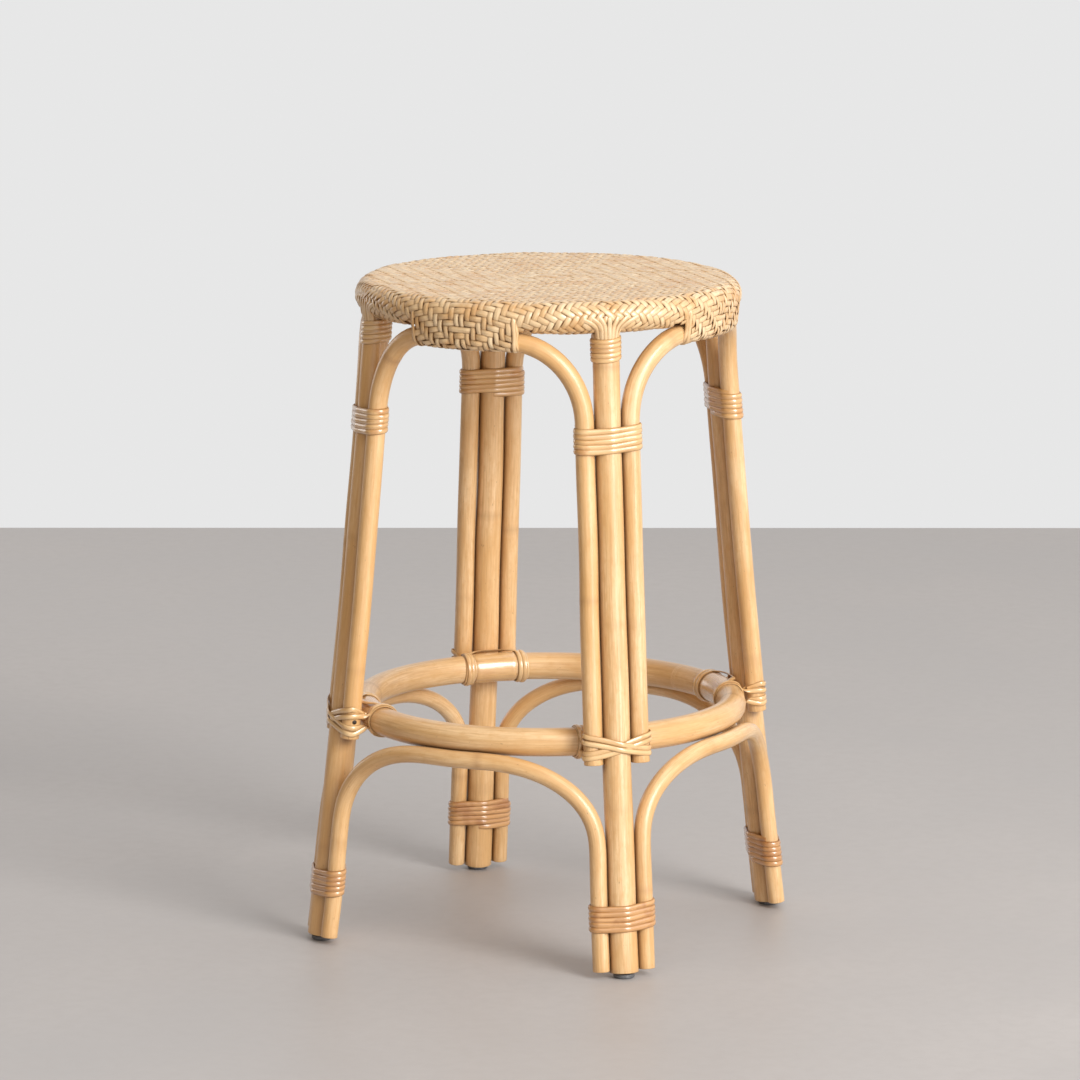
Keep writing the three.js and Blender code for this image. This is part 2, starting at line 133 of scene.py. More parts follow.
def smoothstep(x):
    x = np.clip(x, 0.0, 1.0)
    return x * x * (3 - 2 * x)


def unit(v):
    return v / np.maximum(np.linalg.norm(v, axis=-1, keepdims=True), 1e-9)


def turned_about_z(points, degrees):
    a = math.radians(degrees)
    c, s = math.cos(a), math.sin(a)
    x, y, z = points[..., 0], points[..., 1], points[..., 2]
    return np.stack([c * x - s * y, s * x + c * y, z], axis=-1)


def polar(radius, angle, height):
    """Points at a distance from the Z axis, an angle about it in radians, and a height."""
    parts = np.broadcast_arrays(radius * np.cos(angle), radius * np.sin(angle), height)
    return np.stack(parts, axis=-1)


def seeded(*words):
    return random.Random(str(SEED) + "".join(str(word) for word in words))


def placed(name, data):
    made = bpy.data.objects.new(name, data)
    bpy.context.scene.collection.objects.link(made)
    return made


def wander(rng, shortest, longest, waves=4):
    """A smooth random curve of about unit height, as a function of distance."""
    terms = [
        (rng.uniform(shortest, longest), rng.uniform(0, 2 * math.pi), rng.uniform(0.5, 1.0))
        for _ in range(waves)
    ]

    def value(s):
        total = sum(h * np.sin(2 * math.pi * np.asarray(s) / w + p) for w, p, h in terms)
        return total / math.sqrt(waves)

    return value


def arc_lengths(path):
    steps = np.linalg.norm(np.diff(path, axis=0), axis=1)
    return np.concatenate([[0.0], np.cumsum(steps)])


def interpolated(at, s, values):
    """Rows of values known at distances s, read off at other distances."""
    return np.stack([np.interp(at, s, column) for column in values.T], axis=1)


def resampled(path, spacing):
    s = arc_lengths(path)
    count = max(2, int(round(s[-1] / spacing)) + 1)
    return interpolated(np.linspace(0, s[-1], count), s, path)


# ---- meshes ----


class Shape:
    """Points, faces and per-point data gathered from several swept parts of one piece."""

    def __init__(self):
        self.points, self.faces, self.grain = [], [], []
        self.data = {"tone": [], "knot_or_dive_shade": [], "edge": []}
        self.face_slots = []
        self.spines = []
        self.count = 0

    def add(self, points, faces, grain, tone=0.0, knot_or_dive_shade=0.0, edge=0.0, slot=0):
        n = len(points)
        self.points.append(np.asarray(points, float))
        self.grain.append(np.asarray(grain, float))
        for key, value in (("tone", tone), ("knot_or_dive_shade", knot_or_dive_shade), ("edge", edge)):
            self.data[key].append(np.broadcast_to(np.asarray(value, float), (n,)))
        self.faces.extend([[i + self.count for i in f] for f in faces])
        self.face_slots.extend(slot if isinstance(slot, list) else [slot] * len(faces))
        self.count += n

    def sweep(self, rows, grain, tone, edge, knot_or_dive_shade=0.0, closed=False, flip=True):
        """Adds a strip from rows of points; tone and the dive value (painted shade where a woven
        strand goes under another) have a value for each row.
        """
        count, around = rows.shape[:2]
        faces = skin_faces(count, around, closed_along=closed)
        if not closed:
            faces.append(list(range(around))[::-1])
            faces.append([(count - 1) * around + j for j in range(around)])
        if flip:
            faces = [f[::-1] for f in faces]
        grain = np.stack(np.broadcast_arrays(*grain), axis=-1).reshape(-1, 3)
        tone = np.repeat(np.clip(tone, -1, 1), around)
        knot_or_dive_shade = np.repeat(np.broadcast_to(knot_or_dive_shade, count), around)
        self.add(rows.reshape(-1, 3), faces, grain, tone, knot_or_dive_shade, edge.ravel())

    def turn(self, degrees):
        self.points = [turned_about_z(points, degrees) for points in self.points]

    def build(self, name, materials, record_slot, replaces=(), sharp_degrees=55):
        mesh = bpy.data.meshes.new(name)
        points = np.concatenate(self.points) * MM
        mesh.from_pydata(points.tolist(), [], self.faces)
        for m in materials:
            mesh.materials.append(m)
        mesh.polygons.foreach_set("material_index", self.face_slots)
        mesh.polygons.foreach_set("use_smooth", [True] * len(self.faces))
        grain = mesh.attributes.new("grain", "FLOAT_VECTOR", "POINT")
        grain.data.foreach_set("vector", (np.concatenate(self.grain) * MM).ravel())
        for key, parts in self.data.items():
            attribute = mesh.attributes.new(key, "FLOAT", "POINT")
            attribute.data.foreach_set("value", np.concatenate(parts))
        mesh.update()
        mesh.set_sharp_from_angle(angle=math.radians(sharp_degrees))
        mesh.validate()
        piece = placed(name, mesh)
        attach(piece, "root")
        if replaces:
            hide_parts(*replaces)


def skin_faces(rings, around, closed_along=False, closed_around=True):
    """Quads between rings of points, ring after ring."""
    faces = []
    last = rings if closed_along else rings - 1
    width = around if closed_around else around - 1
    for i in range(last):
        a0 = i * around
        b0 = ((i + 1) % rings) * around
        for j in range(width):
            k = (j + 1) % around
            faces.append([a0 + j, a0 + k, b0 + k, b0 + j])
    return faces


def path_tangents(path, closed):
    if closed:
        return unit(np.roll(path, -1, axis=0) - np.roll(path, 1, axis=0))
    return unit(np.gradient(path, axis=0))


def path_frames(path, closed):
    """Tangents and two cross directions along a path, turning as little as they can."""
    tangents = path_tangents(path, closed)
    first = np.array([0.0, 0.0, 1.0])
    if abs(first @ tangents[0]) > 0.9:
        first = np.array([1.0, 0.0, 0.0])
    side = first - tangents[0] * (first @ tangents[0])
    sides = [side / np.linalg.norm(side)]
    for t in tangents[1:]:
        side = sides[-1] - t * (sides[-1] @ t)
        sides.append(side / np.linalg.norm(side))
    sides = np.array(sides)
    return tangents, sides, np.cross(tangents, sides)


POLE_SIDES = 44
ARCH_SIDES = 36
POLE_STEP = 7.0
EDGE_ROUND = 0.9
END_STEADY = 30.0
BOW_WAVES = (120, 330)
SWELL_WAVES = (60, 240)
SWELL = 0.006
FIRST_KNOT = (40, 190)
KNOT_SPACING = (170, 330)
KNOT_LENGTH = 4.0
KNOT_HEIGHT = 0.22
PITH_SHARE = 0.55
RING_SWELLS = 7
GRAIN_LENGTH = 4000


def add_pole(shape, rng, path, radius, closed=False, wobble=0.45, sides=POLE_SIDES, tone=None):
    """A round rattan pole along a path: slightly uneven, with faint rings where leaves grew."""
    path = resampled(np.asarray(path, float), POLE_STEP)
    if closed:
        path = path[:-1]
    s = arc_lengths(path)
    total = s[-1] + (POLE_STEP if closed else 0)
    tangents, side, up = path_frames(path, closed)
    if closed:
        fade = 1.0
        turns = [rng.randint(2, 5) for _ in range(2)]
        phases = [rng.uniform(0, ANY_TURN) for _ in range(2)]
        drift = [np.sin(2 * math.pi * s / total * n + p) for n, p in zip(turns, phases)]
    else:
        fade = smoothstep(s / END_STEADY) * smoothstep((total - s) / END_STEADY)
        drift = [wander(rng, *BOW_WAVES)(s) for _ in range(2)]
    for amount, direction in zip(drift, (side, up)):
        path = path + (fade * wobble * amount)[:, None] * direction
    radii = np.full(len(s), 1.0) * (radius(path) if callable(radius) else radius)
    swell = wander(rng, *SWELL_WAVES)(s) * SWELL
    if closed:
        swell = SWELL * np.sin(2 * math.pi * s / total * RING_SWELLS + phases[0])
    knot_or_dive_shade = np.zeros_like(s)
    place = rng.uniform(*FIRST_KNOT)
    while place < total - END_STEADY:
        knot_or_dive_shade += np.exp(-(((s - place) / KNOT_LENGTH) ** 2)) * rng.uniform(0.35, 1.0)
        place += rng.uniform(*KNOT_SPACING)
    knot_or_dive_shade = np.clip(knot_or_dive_shade, 0, 1)
    radii = radii * (1 + swell) + KNOT_HEIGHT * knot_or_dive_shade
    angle = np.linspace(0, 2 * math.pi, sides, endpoint=False)
    oval = SWELL * np.cos(2 * angle + rng.uniform(0, ANY_TURN))
    lobes = oval + 0.5 * SWELL * np.cos(3 * angle + rng.uniform(0, ANY_TURN))
    start = rng.uniform(0, GRAIN_LENGTH)
    tone = rng.uniform(-1, 1) if tone is None else tone
    circle = np.stack([np.cos(angle), np.sin(angle)], axis=1)

    def ring(centre, along, across, size):
        reach = size * (1 + lobes)
        return centre + (circle[:, :1] * along + circle[:, 1:] * across) * reach[:, None]

    # each ring of points: station, size, how far it is moved along the path, knot
    stations = [(i, radii[i], 0.0, knot_or_dive_shade[i]) for i in range(len(s))]
    if not closed:
        rounding = ((0.0, EDGE_ROUND), (0.3 * EDGE_ROUND, 0.3 * EDGE_ROUND), (EDGE_ROUND, 0.0))
        first = [(0, radii[0] - drop, inset, 0.0) for inset, drop in rounding]
        last = [(-1, radii[-1] - drop, -inset, 0.0) for inset, drop in reversed(rounding)]
        stations = first + stations[1:-1] + last
    rows, grains, knot_rows = [], [], []
    for i, size, inset, knot_value in stations:
        rows.append(ring(path[i] + tangents[i] * inset, side[i], up[i], size))
        distance = (total if i < 0 else s[i]) + inset
        grains.append(np.column_stack([circle * size, np.full(sides, start + distance)]))
        knot_rows.append(np.full(sides, knot_value))
    shape.spines.append((path, radii))
    faces = skin_faces(len(rows), sides, closed_along=closed)
    slots = [0] * len(faces)
    if not closed:
        ends = ((0, 0, start), (len(rows) - 1, -1, start + total))
        inner_rim = len(rows) * sides
        for row_at, i, distance in ends:
            size = (radii[i] - EDGE_ROUND) * PITH_SHARE
            rim = row_at * sides
            middle = inner_rim + sides
            rows.append(np.concatenate([ring(path[i], side[i], up[i], size), [path[i]]]))
            knot_rows.append(np.zeros(sides + 1))
            flat = np.concatenate([circle * size, [[0.0, 0.0]]])
            grains.append(np.column_stack([flat, np.full(sides + 1, distance)]))
            cap = []
            for j in range(sides):
                k = (j + 1) % sides
                cap.append([rim + j, rim + k, inner_rim + k, inner_rim + j])
                cap.append([inner_rim + j, inner_rim + k, middle])
            if i == 0:
                cap = [f[::-1] for f in cap]
            faces += cap
            slots += [1] * len(cap)
            inner_rim = middle + 1
    grains, knot_rows = np.concatenate(grains), np.concatenate(knot_rows)
    shape.add(np.concatenate(rows), faces, grains, tone, knot_rows, slot=slots)


# Peel is split cane: flat underneath, gently domed on top. Offsets are shares of its size.
PEEL_SECTION = np.array([
    (-0.5, 0.06), (-0.43, 0.50), (-0.28, 0.84), (0.0, 1.0), (0.28, 0.84), (0.43, 0.50), (0.5, 0.06),
    (0.36, -0.04), (-0.36, -0.04),
])


def add_peel(shape, rng, path, normals, width, thickness, closed=False, tone=None, lift=0.0):
    """A strip of split cane along a path, its domed face towards the normals."""
    tangents = path_tangents(path, closed)
    normals = unit(normals - tangents * np.sum(normals * tangents, axis=1, keepdims=True))
    across = np.cross(normals, tangents)
    s = arc_lengths(path)
    uneven = 1 + 0.05 * wander(rng, 25, 90)(s) * (not closed)
    offset, rise = (PEEL_SECTION * [[width, thickness]]).T
    height = np.broadcast_to(lift, len(s))
    rows = (
        path[:, None, :]
        + across[:, None, :] * (offset[:, None] * uneven[:, None, None])
        + normals[:, None, :] * (rise[:, None] + height[:, None, None])
    )
    start = rng.uniform(0, GRAIN_LENGTH)
    shift = rng.uniform(-300, 300)
    # share across the strip, from the middle to the sides: the mask for the painted shade in the
    # grooves between strips
    edge = np.tile(np.abs(PEEL_SECTION[:, 0]) * 2, len(s))
    shade = (rng.uniform(-0.7, 0.7) if tone is None else tone) + 0.45 * wander(rng, 40, 150)(s)
    shape.sweep(rows, (offset + shift, rise, (start + s)[:, None]), shade, edge, closed=closed)


# ---- materials ----


# sockets of a Mix node that mixes colours
MIX_SHARE, MIX_FIRST, MIX_SECOND, MIX_RESULT = 0, 6, 7, 2


class Nodes:
    """Short ways to add and join the nodes of a tree."""

    def __init__(self, tree):
        self.tree = tree

    def fill(self, made, inputs):
        """Joins a socket, or sets a value, at each of the inputs given."""
        for key, value in inputs.items():
            if isinstance(value, bpy.types.NodeSocket):
                self.tree.links.new(value, made.inputs[key])
            else:
                made.inputs[key].default_value = value

    def node(self, kind, output, inputs=None, **values):
        """Adds a node and gives one of its outputs."""
        made = self.tree.nodes.new(kind)
        for key, value in values.items():
            setattr(made, key, value)
        self.fill(made, inputs or {})
        return made.outputs[output]

    def attribute(self, name, output="Fac"):
        return self.node("ShaderNodeAttribute", output, attribute_name=name)

    def place(self, output="Object"):
        return self.node("ShaderNodeTexCoord", output)

    def noise(self, vector, scale, detail=3.0, roughness=0.5, stretch=None):
        """Noise over a vector whose three parts are first scaled by stretch."""
        if stretch:
            vector = self.node("ShaderNodeMapping", "Vector", {"Vector": vector, "Scale": stretch})
        inputs = {"Vector": vector, "Scale": scale, "Detail": detail, "Roughness": roughness}
        return self.node("ShaderNodeTexNoise", "Fac", inputs)

    def spread(self, value, low, high, to_low=0.0, to_high=1.0, kind="LINEAR"):
        """A value between low and high, moved to another range and held there."""
        inputs = {"Value": value, "From Min": low, "From Max": high}
        inputs.update({"To Min": to_low, "To Max": to_high})
        return self.node("ShaderNodeMapRange", "Result", inputs, interpolation_type=kind)

    def mixed(self, share, *paints):
        first, second = (p if isinstance(p, bpy.types.NodeSocket) else (*p, 1.0) for p in paints)
        inputs = {MIX_SHARE: share, MIX_FIRST: first, MIX_SECOND: second}
        return self.node("ShaderNodeMix", MIX_RESULT, inputs, data_type="RGBA")

    def layered(self, colour, *layers):
        """Paints laid over a colour, each as its value goes from low to high, up to a strength."""
        for value, low, high, strength, paint in layers:
            colour = self.mixed(self.spread(value, low, high, 0, strength), colour, paint)
        return colour

    def maths(self, operation, *values):
        return self.node("ShaderNodeMath", 0, dict(enumerate(values)), operation=operation)


class Look(Nodes):
    """A material with one principled shader."""

    def __init__(self, name):
        self.material = bpy.data.materials.new(name)
        self.material.use_nodes = True
        super().__init__(self.material.node_tree)
        self.tree.nodes.clear()

    def done(self, inputs, height, strength, distance):
        """Adds the shader with its inputs and a bump, and gives the material."""
        bump = {"Height": height, "Strength": strength, "Distance": distance}
        normal = self.node("ShaderNodeBump", "Normal", bump)
        surface = self.node("ShaderNodeBsdfPrincipled", "BSDF", {**inputs, "Normal": normal})
        self.fill(self.tree.nodes.new("ShaderNodeOutputMaterial"), {"Surface": surface})
        return self.material


def pole_look():
    """Peeled, varnished rattan pole: long pale fibres, warmer patches, dark specks and rings, and
    painted shade where it touches other poles.
    """
    look = Look("rattan_pole")
    grain = look.attribute("grain", "Vector")
    fibres = look.noise(grain, 1500, 4, 0.6, (1, 1, 0.03))
    streaks = look.noise(grain, 560, 3, 0.6, (1, 1, 0.035))
    bands = look.noise(grain, 230, 3, 0.55, (1, 1, 0.05))
    patches = look.noise(grain, 50, 3, 0.5, (1, 1, 0.22))
    mottle = look.noise(grain, 240, 3, 0.6, (1, 1, 0.4))
    specks = look.noise(grain, 760, 2, 0.4, (1, 1, 0.3))
    colour = look.mixed(look.spread(patches, 0.36, 0.64), (0.71, 0.435, 0.19), (0.89, 0.635, 0.36))
    colour = look.layered(
        colour,
        (mottle, 0.48, 0.70, 0.40, (0.66, 0.34, 0.115)),
        (bands, 0.44, 0.66, 0.45, (0.61, 0.33, 0.12)),
        (streaks, 0.46, 0.68, 0.42, (0.52, 0.275, 0.095)),
        (fibres, 0.48, 0.70, 0.45, (0.46, 0.23, 0.08)),
        (look.attribute("tone"), -1, 1.4, 0.55, (0.72, 0.40, 0.145)),
        (look.attribute("knot_or_dive_shade"), 0.05, 1, 0.40, (0.38, 0.18, 0.07)),
        (specks, 0.735, 0.78, 0.55, (0.22, 0.10, 0.04)),
        # painted shade: dark line where the pole nearly touches another pole
        (look.attribute("edge"), 0, 1, 0.88, (0.13, 0.05, 0.016)),
    )
    inputs = {
        "Base Color": colour, "Roughness": look.spread(patches, 0.3, 0.75, 0.34, 0.46),
        "Coat Weight": 0.55, "Coat Roughness": 0.20,
    }
    height = look.maths("ADD", fibres, look.maths("MULTIPLY", streaks, 1.5))
    return look.done(inputs, height, 0.4, 0.0004)


def pole_end_look():
    """Sawn end of a pole: a pale pith full of small open pores."""
    look = Look("rattan_pole_end")
    grain = look.attribute("grain", "Vector")
    inputs = {"Vector": grain, "Scale": 900}
    pores = look.node("ShaderNodeTexVoronoi", "Distance", inputs, feature="F1")
    hole = look.spread(pores, 0.16, 0.34)
    tint = look.noise(grain, 160)
    wood = look.mixed(look.spread(tint, 0.35, 0.65), (0.60, 0.37, 0.18), (0.76, 0.53, 0.30))
    colour = look.mixed(hole, (0.30, 0.16, 0.07), wood)
    inputs = {"Base Color": colour, "Roughness": look.spread(tint, 0.3, 0.7, 0.62, 0.8)}
    return look.done(inputs, hole, 0.5, 0.0005)


# painted shade: the dark colour put into the grooves between strips and turns, and where a woven
# strand dives under another
GROOVE_SHADE = (0.19, 0.07, 0.014)
EDGE_START = 0.55


def peel_look(
    name, pale, deep, edge_colour, stain, roughness=(0.22, 0.36), coat=1.0, sheen=0.0, groove=0.8
):
    """Split cane: silky fibres along the strip, each strip its own tone, with painted shade in the
    grooves at its edges and where a woven strand dives under another.
    """
    look = Look(name)
    grain = look.attribute("grain", "Vector")
    fibres = look.noise(grain, 2300, 3, 0.6, (1, 0.3, 0.02))
    streaks = look.noise(grain, 520, 3, 0.55, (1, 0.3, 0.05))
    patches = look.noise(grain, 48, 2, 0.5, (0.5, 0.3, 0.35))
    stains = look.noise(look.place(), 36, 3, 0.6)
    tone = look.attribute("tone")
    patchy = look.spread(patches, 0.3, 0.7, 0, 0.5)
    share = look.maths("ADD", patchy, look.spread(tone, -1, 1, 0, 0.5))
    edge = look.attribute("edge")
    # painted groove shade, strongest at the very edges of the strip
    rim = look.maths("MULTIPLY", look.maths("POWER", edge, 4.5), groove)
    colour = look.layered(
        look.mixed(share, pale, deep),
        (streaks, 0.45, 0.72, 0.50, edge_colour),
        (fibres, 0.5, 0.76, 0.35, edge_colour),
        (stains, 0.54, 0.655, 0.72, stain),
    )
    colour = look.mixed(rim, colour, GROOVE_SHADE)
    # painted shade where a woven strand dives under another strand
    colour = look.layered(colour, (look.attribute("knot_or_dive_shade"), 0.36, 0.68, 0.85, GROOVE_SHADE))
    inputs = {
        "Base Color": colour, "Roughness": look.spread(streaks, 0.3, 0.75, *roughness),
        "Coat Weight": look.spread(edge, EDGE_START, 1.0, coat, 0.05),
        "Specular IOR Level": look.spread(edge, EDGE_START, 1.0, 0.5, 0.12),
        "Coat Roughness": 0.25, "Coat IOR": 1.75, "Sheen Weight": sheen, "Sheen Roughness": 0.5,
    }
    return look.done(inputs, look.maths("ADD", fibres, streaks), 0.35, 0.0003)


def board_look():
    """Plain plywood under the weave."""
    look = Look("plywood_board")
    place = look.place()
    rings = look.noise(place, 55, 4, 0.6, (0.06, 1, 1))
    pores = look.noise(place, 900, 2, 0.5, (0.03, 1, 1))
    inputs = {"Vector": place, "Scale": 170}
    layers = look.node("ShaderNodeTexWave", "Fac", inputs, wave_type="BANDS", bands_direction="Z")
    colour = look.layered(
        look.mixed(look.spread(rings, 0.3, 0.7), (0.62, 0.44, 0.25), (0.74, 0.56, 0.34)),
        (pores, 0.55, 0.8, 0.4, (0.42, 0.27, 0.13)),
        (layers, 0.4, 0.6, 0.12, (0.45, 0.29, 0.15)),
    )
    inputs = {"Base Color": colour, "Roughness": look.spread(rings, 0.3, 0.7, 0.6, 0.75)}
    return look.done(inputs, pores, 0.3, 0.0004)


def plain_look(name, noise, tints, low, high, rough, bump, grit=None, speck=None, metallic=0.0):
    """A plain material mottled by one noise, with an optional finer one for specks and bump."""
    look = Look(name)
    place = look.place()
    mottle = look.noise(place, *noise)
    fine = look.noise(place, *grit) if grit else mottle
    colour = look.mixed(look.spread(mottle, *tints), low, high)
    if speck:
        colour = look.layered(colour, (fine, *speck))
    inputs = {"Base Color": colour, "Roughness": look.spread(mottle, *rough), "Metallic": metallic}
    return look.done(inputs, fine, *bump)


POLE = pole_look()
POLE_END = pole_end_look()
PEEL_WRAP = peel_look(
    "peel_wrap", (0.87, 0.60, 0.30), (0.68, 0.37, 0.13), (0.42, 0.19, 0.06), (0.58, 0.27, 0.085)
)
DARK_PEEL_WRAP = peel_look(
    "dark_peel_wrap", (0.72, 0.40, 0.155), (0.55, 0.26, 0.085), (0.32, 0.13, 0.04),
    (0.40, 0.16, 0.045),
)
PALE_PEEL = peel_look(
    "pale_peel_lashing", (0.88, 0.62, 0.32), (0.72, 0.42, 0.165), (0.50, 0.25, 0.085),
    (0.64, 0.34, 0.12),
)
WOVEN_PEEL = peel_look(
    "woven_peel", (0.88, 0.68, 0.42), (0.70, 0.43, 0.19), (0.44, 0.23, 0.09), (0.64, 0.35, 0.13),
    (0.32, 0.48), 0.45, 0.03, 0.6,
)
BOARD = board_look()
GLIDE = plain_look(
    "glide_plastic", (900, 4, 0.6, (1, 0.2, 1)), (0.45, 0.7), (0.10, 0.10, 0.105),
    (0.20, 0.20, 0.205), (0.35, 0.7, 0.42, 0.66), (0.25, 0.0002), grit=(2600, 2),
)
SCREW = plain_look(
    "screw_steel", (700, 4, 0.6), (0.4, 0.65), (0.075, 0.06, 0.05), (0.04, 0.024, 0.015),
    (0.3, 0.7, 0.4, 0.7), (0.3, 0.0002), metallic=0.85,
)
FLOOR = plain_look(
    "studio_floor", (2.2, 5, 0.6), (0.3, 0.7), (0.425, 0.400, 0.388), (0.485, 0.455, 0.44),
    (0.3, 0.7, 0.42, 0.58), (0.1, 0.001), (60, 3, 0.6), (0.4, 0.7, 0.3, (0.41, 0.38, 0.365)),
)

# ---- poles ----

STRAIGHT_STEPS = 24
BEND_STEPS = 30


def post_path():
    z = np.linspace(FOOT_HEIGHT, POST_TOP, 60)
    return polar(leg_radius(z), 0.0, z)


def half_arch(arch):
    """One half of an arch: distance from the stool axis, swing from the arch's middle, height."""
    z = np.linspace(arch["end"], arch["leave"], STRAIGHT_STEPS)
    aside = flank_offset(z, arch["pole_radius"])
    swing = math.pi / 4 - np.arctan2(aside, leg_radius(z))
    straight = np.column_stack([np.hypot(leg_radius(z), aside), swing, z])
    start_arc = swing[-1] * arch["top_radius"]
    share = np.linspace(0, 1, BEND_STEPS + 1)[1:]
    turn = share * math.pi / 2
    power = 2 / arch["roundness"]
    rise = np.sin(turn) ** power
    inward = 1 - np.maximum(0, np.cos(turn)) ** power
    z = lerp(arch["leave"], arch["top"], rise)
    aside = flank_offset(z, arch["pole_radius"])
    reach = lerp(np.hypot(leg_radius(z), aside), arch["top_radius"], smoothstep(share))
    swing = (start_arc - arch["bend_width"] * inward) / arch["top_radius"]
    bend = np.column_stack([reach, swing, z])
    flat_arc = (start_arc - arch["bend_width"]) / arch["top_radius"]
    flat = [(arch["top_radius"], swing, arch["top"]) for swing in np.linspace(flat_arc, 0, 10)[1:]]
    return np.concatenate([straight, bend, flat])


def arch_path(arch):
    reach, swing, z = half_arch(arch).T
    right = polar(reach, swing, z)[:-1][::-1]
    return np.concatenate([polar(reach, -swing, z), right])


def eased(path, passes):
    """The path with its corners softened, its ends kept."""
    path = path.copy()
    for _ in range(passes):
        path[1:-1] = 0.25 * path[:-2] + 0.5 * path[1:-1] + 0.25 * path[2:]
    return path


def circle_path(radius, height, start=0.0):
    return polar(radius, np.linspace(0, 2 * math.pi, 361) + math.radians(start), height)


# painted shade between touching poles: how far from the other pole it reaches, and how fast it
# fades
CREVICE_DEPTH = 6.5
CREVICE_POWER = 2.1
SPINE_SPACING = 1.5
FAR_APART = 99.0
POINTS_AT_ONCE = 400


def shade_crevices(shapes):
    """Marks the skin of each pole where it nearly touches another, for the painted shade along the
    line where they meet.
    """
    spines = []
    for owner, shape in enumerate(shapes):
        for path, radii in shape.spines:
            fine = resampled(path, SPINE_SPACING)
            at = np.linspace(0, len(radii) - 1, len(fine))
            spines.append((owner, fine, np.interp(at, np.arange(len(radii)), radii)))
    for owner, shape in enumerate(shapes):
        points = np.concatenate(shape.points)
        gap = np.full(len(points), FAR_APART)
        for other, path, radii in spines:
            if other == owner:
                continue
            margin = radii.max() + CREVICE_DEPTH + 1
            low, high = path.min(axis=0) - margin, path.max(axis=0) + margin
            near = np.flatnonzero(np.all((points > low) & (points < high), axis=1))
            for some in np.array_split(near, max(1, len(near) // POINTS_AT_ONCE)):
                if len(some) == 0:
                    continue
                apart = np.linalg.norm(points[some][:, None, :] - path[None], axis=2) - radii
                gap[some] = np.minimum(gap[some], apart.min(axis=1))
        shape.data["edge"] = [np.clip(1 - (gap - CLEARANCE) / CREVICE_DEPTH, 0, 1) ** CREVICE_POWER]


def post_thickness(path):
    return post_radius(path[:, 2])


# front_left is toned deepest: partly the cane's own deeper colour and partly painted shade for the
# leg's shaded side
POST_TONES = {"front_right": -0.3, "back_right": -0.2, "back_left": 0.1, "front_left": 1.3}


def make_poles():
    """Posts, arches, foot ring and seat hoop."""
    made = []

    def pole(seed_word, node, path, radius, **options):
        shape = Shape()
        add_pole(shape, seeded(seed_word), path, radius, **options)
        made.append((shape, node))

    for name, angle in LEG_ANGLES.items():
        path = turned_about_z(post_path(), angle)
        pole(f"post{name}", f"post_{name}", path, post_thickness, tone=POST_TONES[name])
    for kind, arch in (("upper", UPPER_ARCH), ("lower", LOWER_ARCH)):
        path = eased(resampled(arch_path(arch), 4.0), 6)
        for name, angle in SIDE_ANGLES.items():
            turned, radius = turned_about_z(path, angle), arch["pole_radius"]
            pole(f"{kind}{name}", f"{kind}_arch_{name}", turned, radius, sides=ARCH_SIDES)
    path = circle_path(RING_RADIUS, RING_HEIGHT, 70)
    pole("ring", "foot_ring", path, RING_POLE_RADIUS, closed=True, wobble=0.5)
    path = circle_path(HOOP_RADIUS, RIM_HEIGHT, 20)
    pole("hoop", "seat_hoop", path, HOOP_POLE_RADIUS, closed=True, wobble=0.2)
    shade_crevices([shape for shape, _ in made])
    for shape, node in made:
        shape.build(f"rattan_{node}", [POLE, POLE_END], "pole", [node])


# ---- peel bindings ----


def taut_outline(circles, spacing):
    """Outline of a string pulled tight round circles (x, y, r) listed counter-clockwise.

    Gives points and outward normals, evenly spaced.
    """
    tangents = []
    for i, (x, y, r) in enumerate(circles):
        to_x, to_y, to_r = circles[(i + 1) % len(circles)]
        gap = math.hypot(to_x - x, to_y - y)
        if gap < 1e-6:
            tangents.append(None)
            continue
        tangents.append(math.atan2(to_y - y, to_x - x) - math.acos((r - to_r) / gap))
    points, normals = [], []
    if len(circles) == 1:
        x, y, r = circles[0]
        normals = polar(1.0, np.linspace(0, 2 * math.pi, 97), 0.0)[:, :2]
        points = [x, y] + r * normals
    else:
        for i, (x, y, r) in enumerate(circles):
            start = tangents[i - 1]
            sweep = (tangents[i] - start) % (2 * math.pi)
            steps = max(2, int(math.degrees(sweep) / 5))
            for k in range(steps + 1):
                turn = start + sweep * k / steps
                points.append((x + r * math.cos(turn), y + r * math.sin(turn)))
                normals.append((math.cos(turn), math.sin(turn)))
        points.append(points[0])
        normals.append(normals[0])
        points, normals = np.array(points), np.array(normals)
    s = arc_lengths(points)
    at = np.linspace(0, s[-1], int(s[-1] / spacing), endpoint=False)
    return interpolated(at, s, points), unit(interpolated(at, s, normals))


def bundle_circles(z, pole_radius):
    """Post and the two poles at its flanks, x away from the stool axis."""
    aside = flank_offset(z, pole_radius)
    reach = leg_radius(z)
    post = (reach, 0.0, post_radius(z))
    return [post, (reach, aside, pole_radius), post, (reach, -aside, pole_radius)]


PEEL_THICKNESS = 2.0
PEEL_SPACING = 1.5
PEEL_SLACK = 0.15
TUCK_DEPTH = 1.6
TUCK_STEPS = 9.0
LEVEL_SHARE = 0.35
TURN_STRAY = 0.35


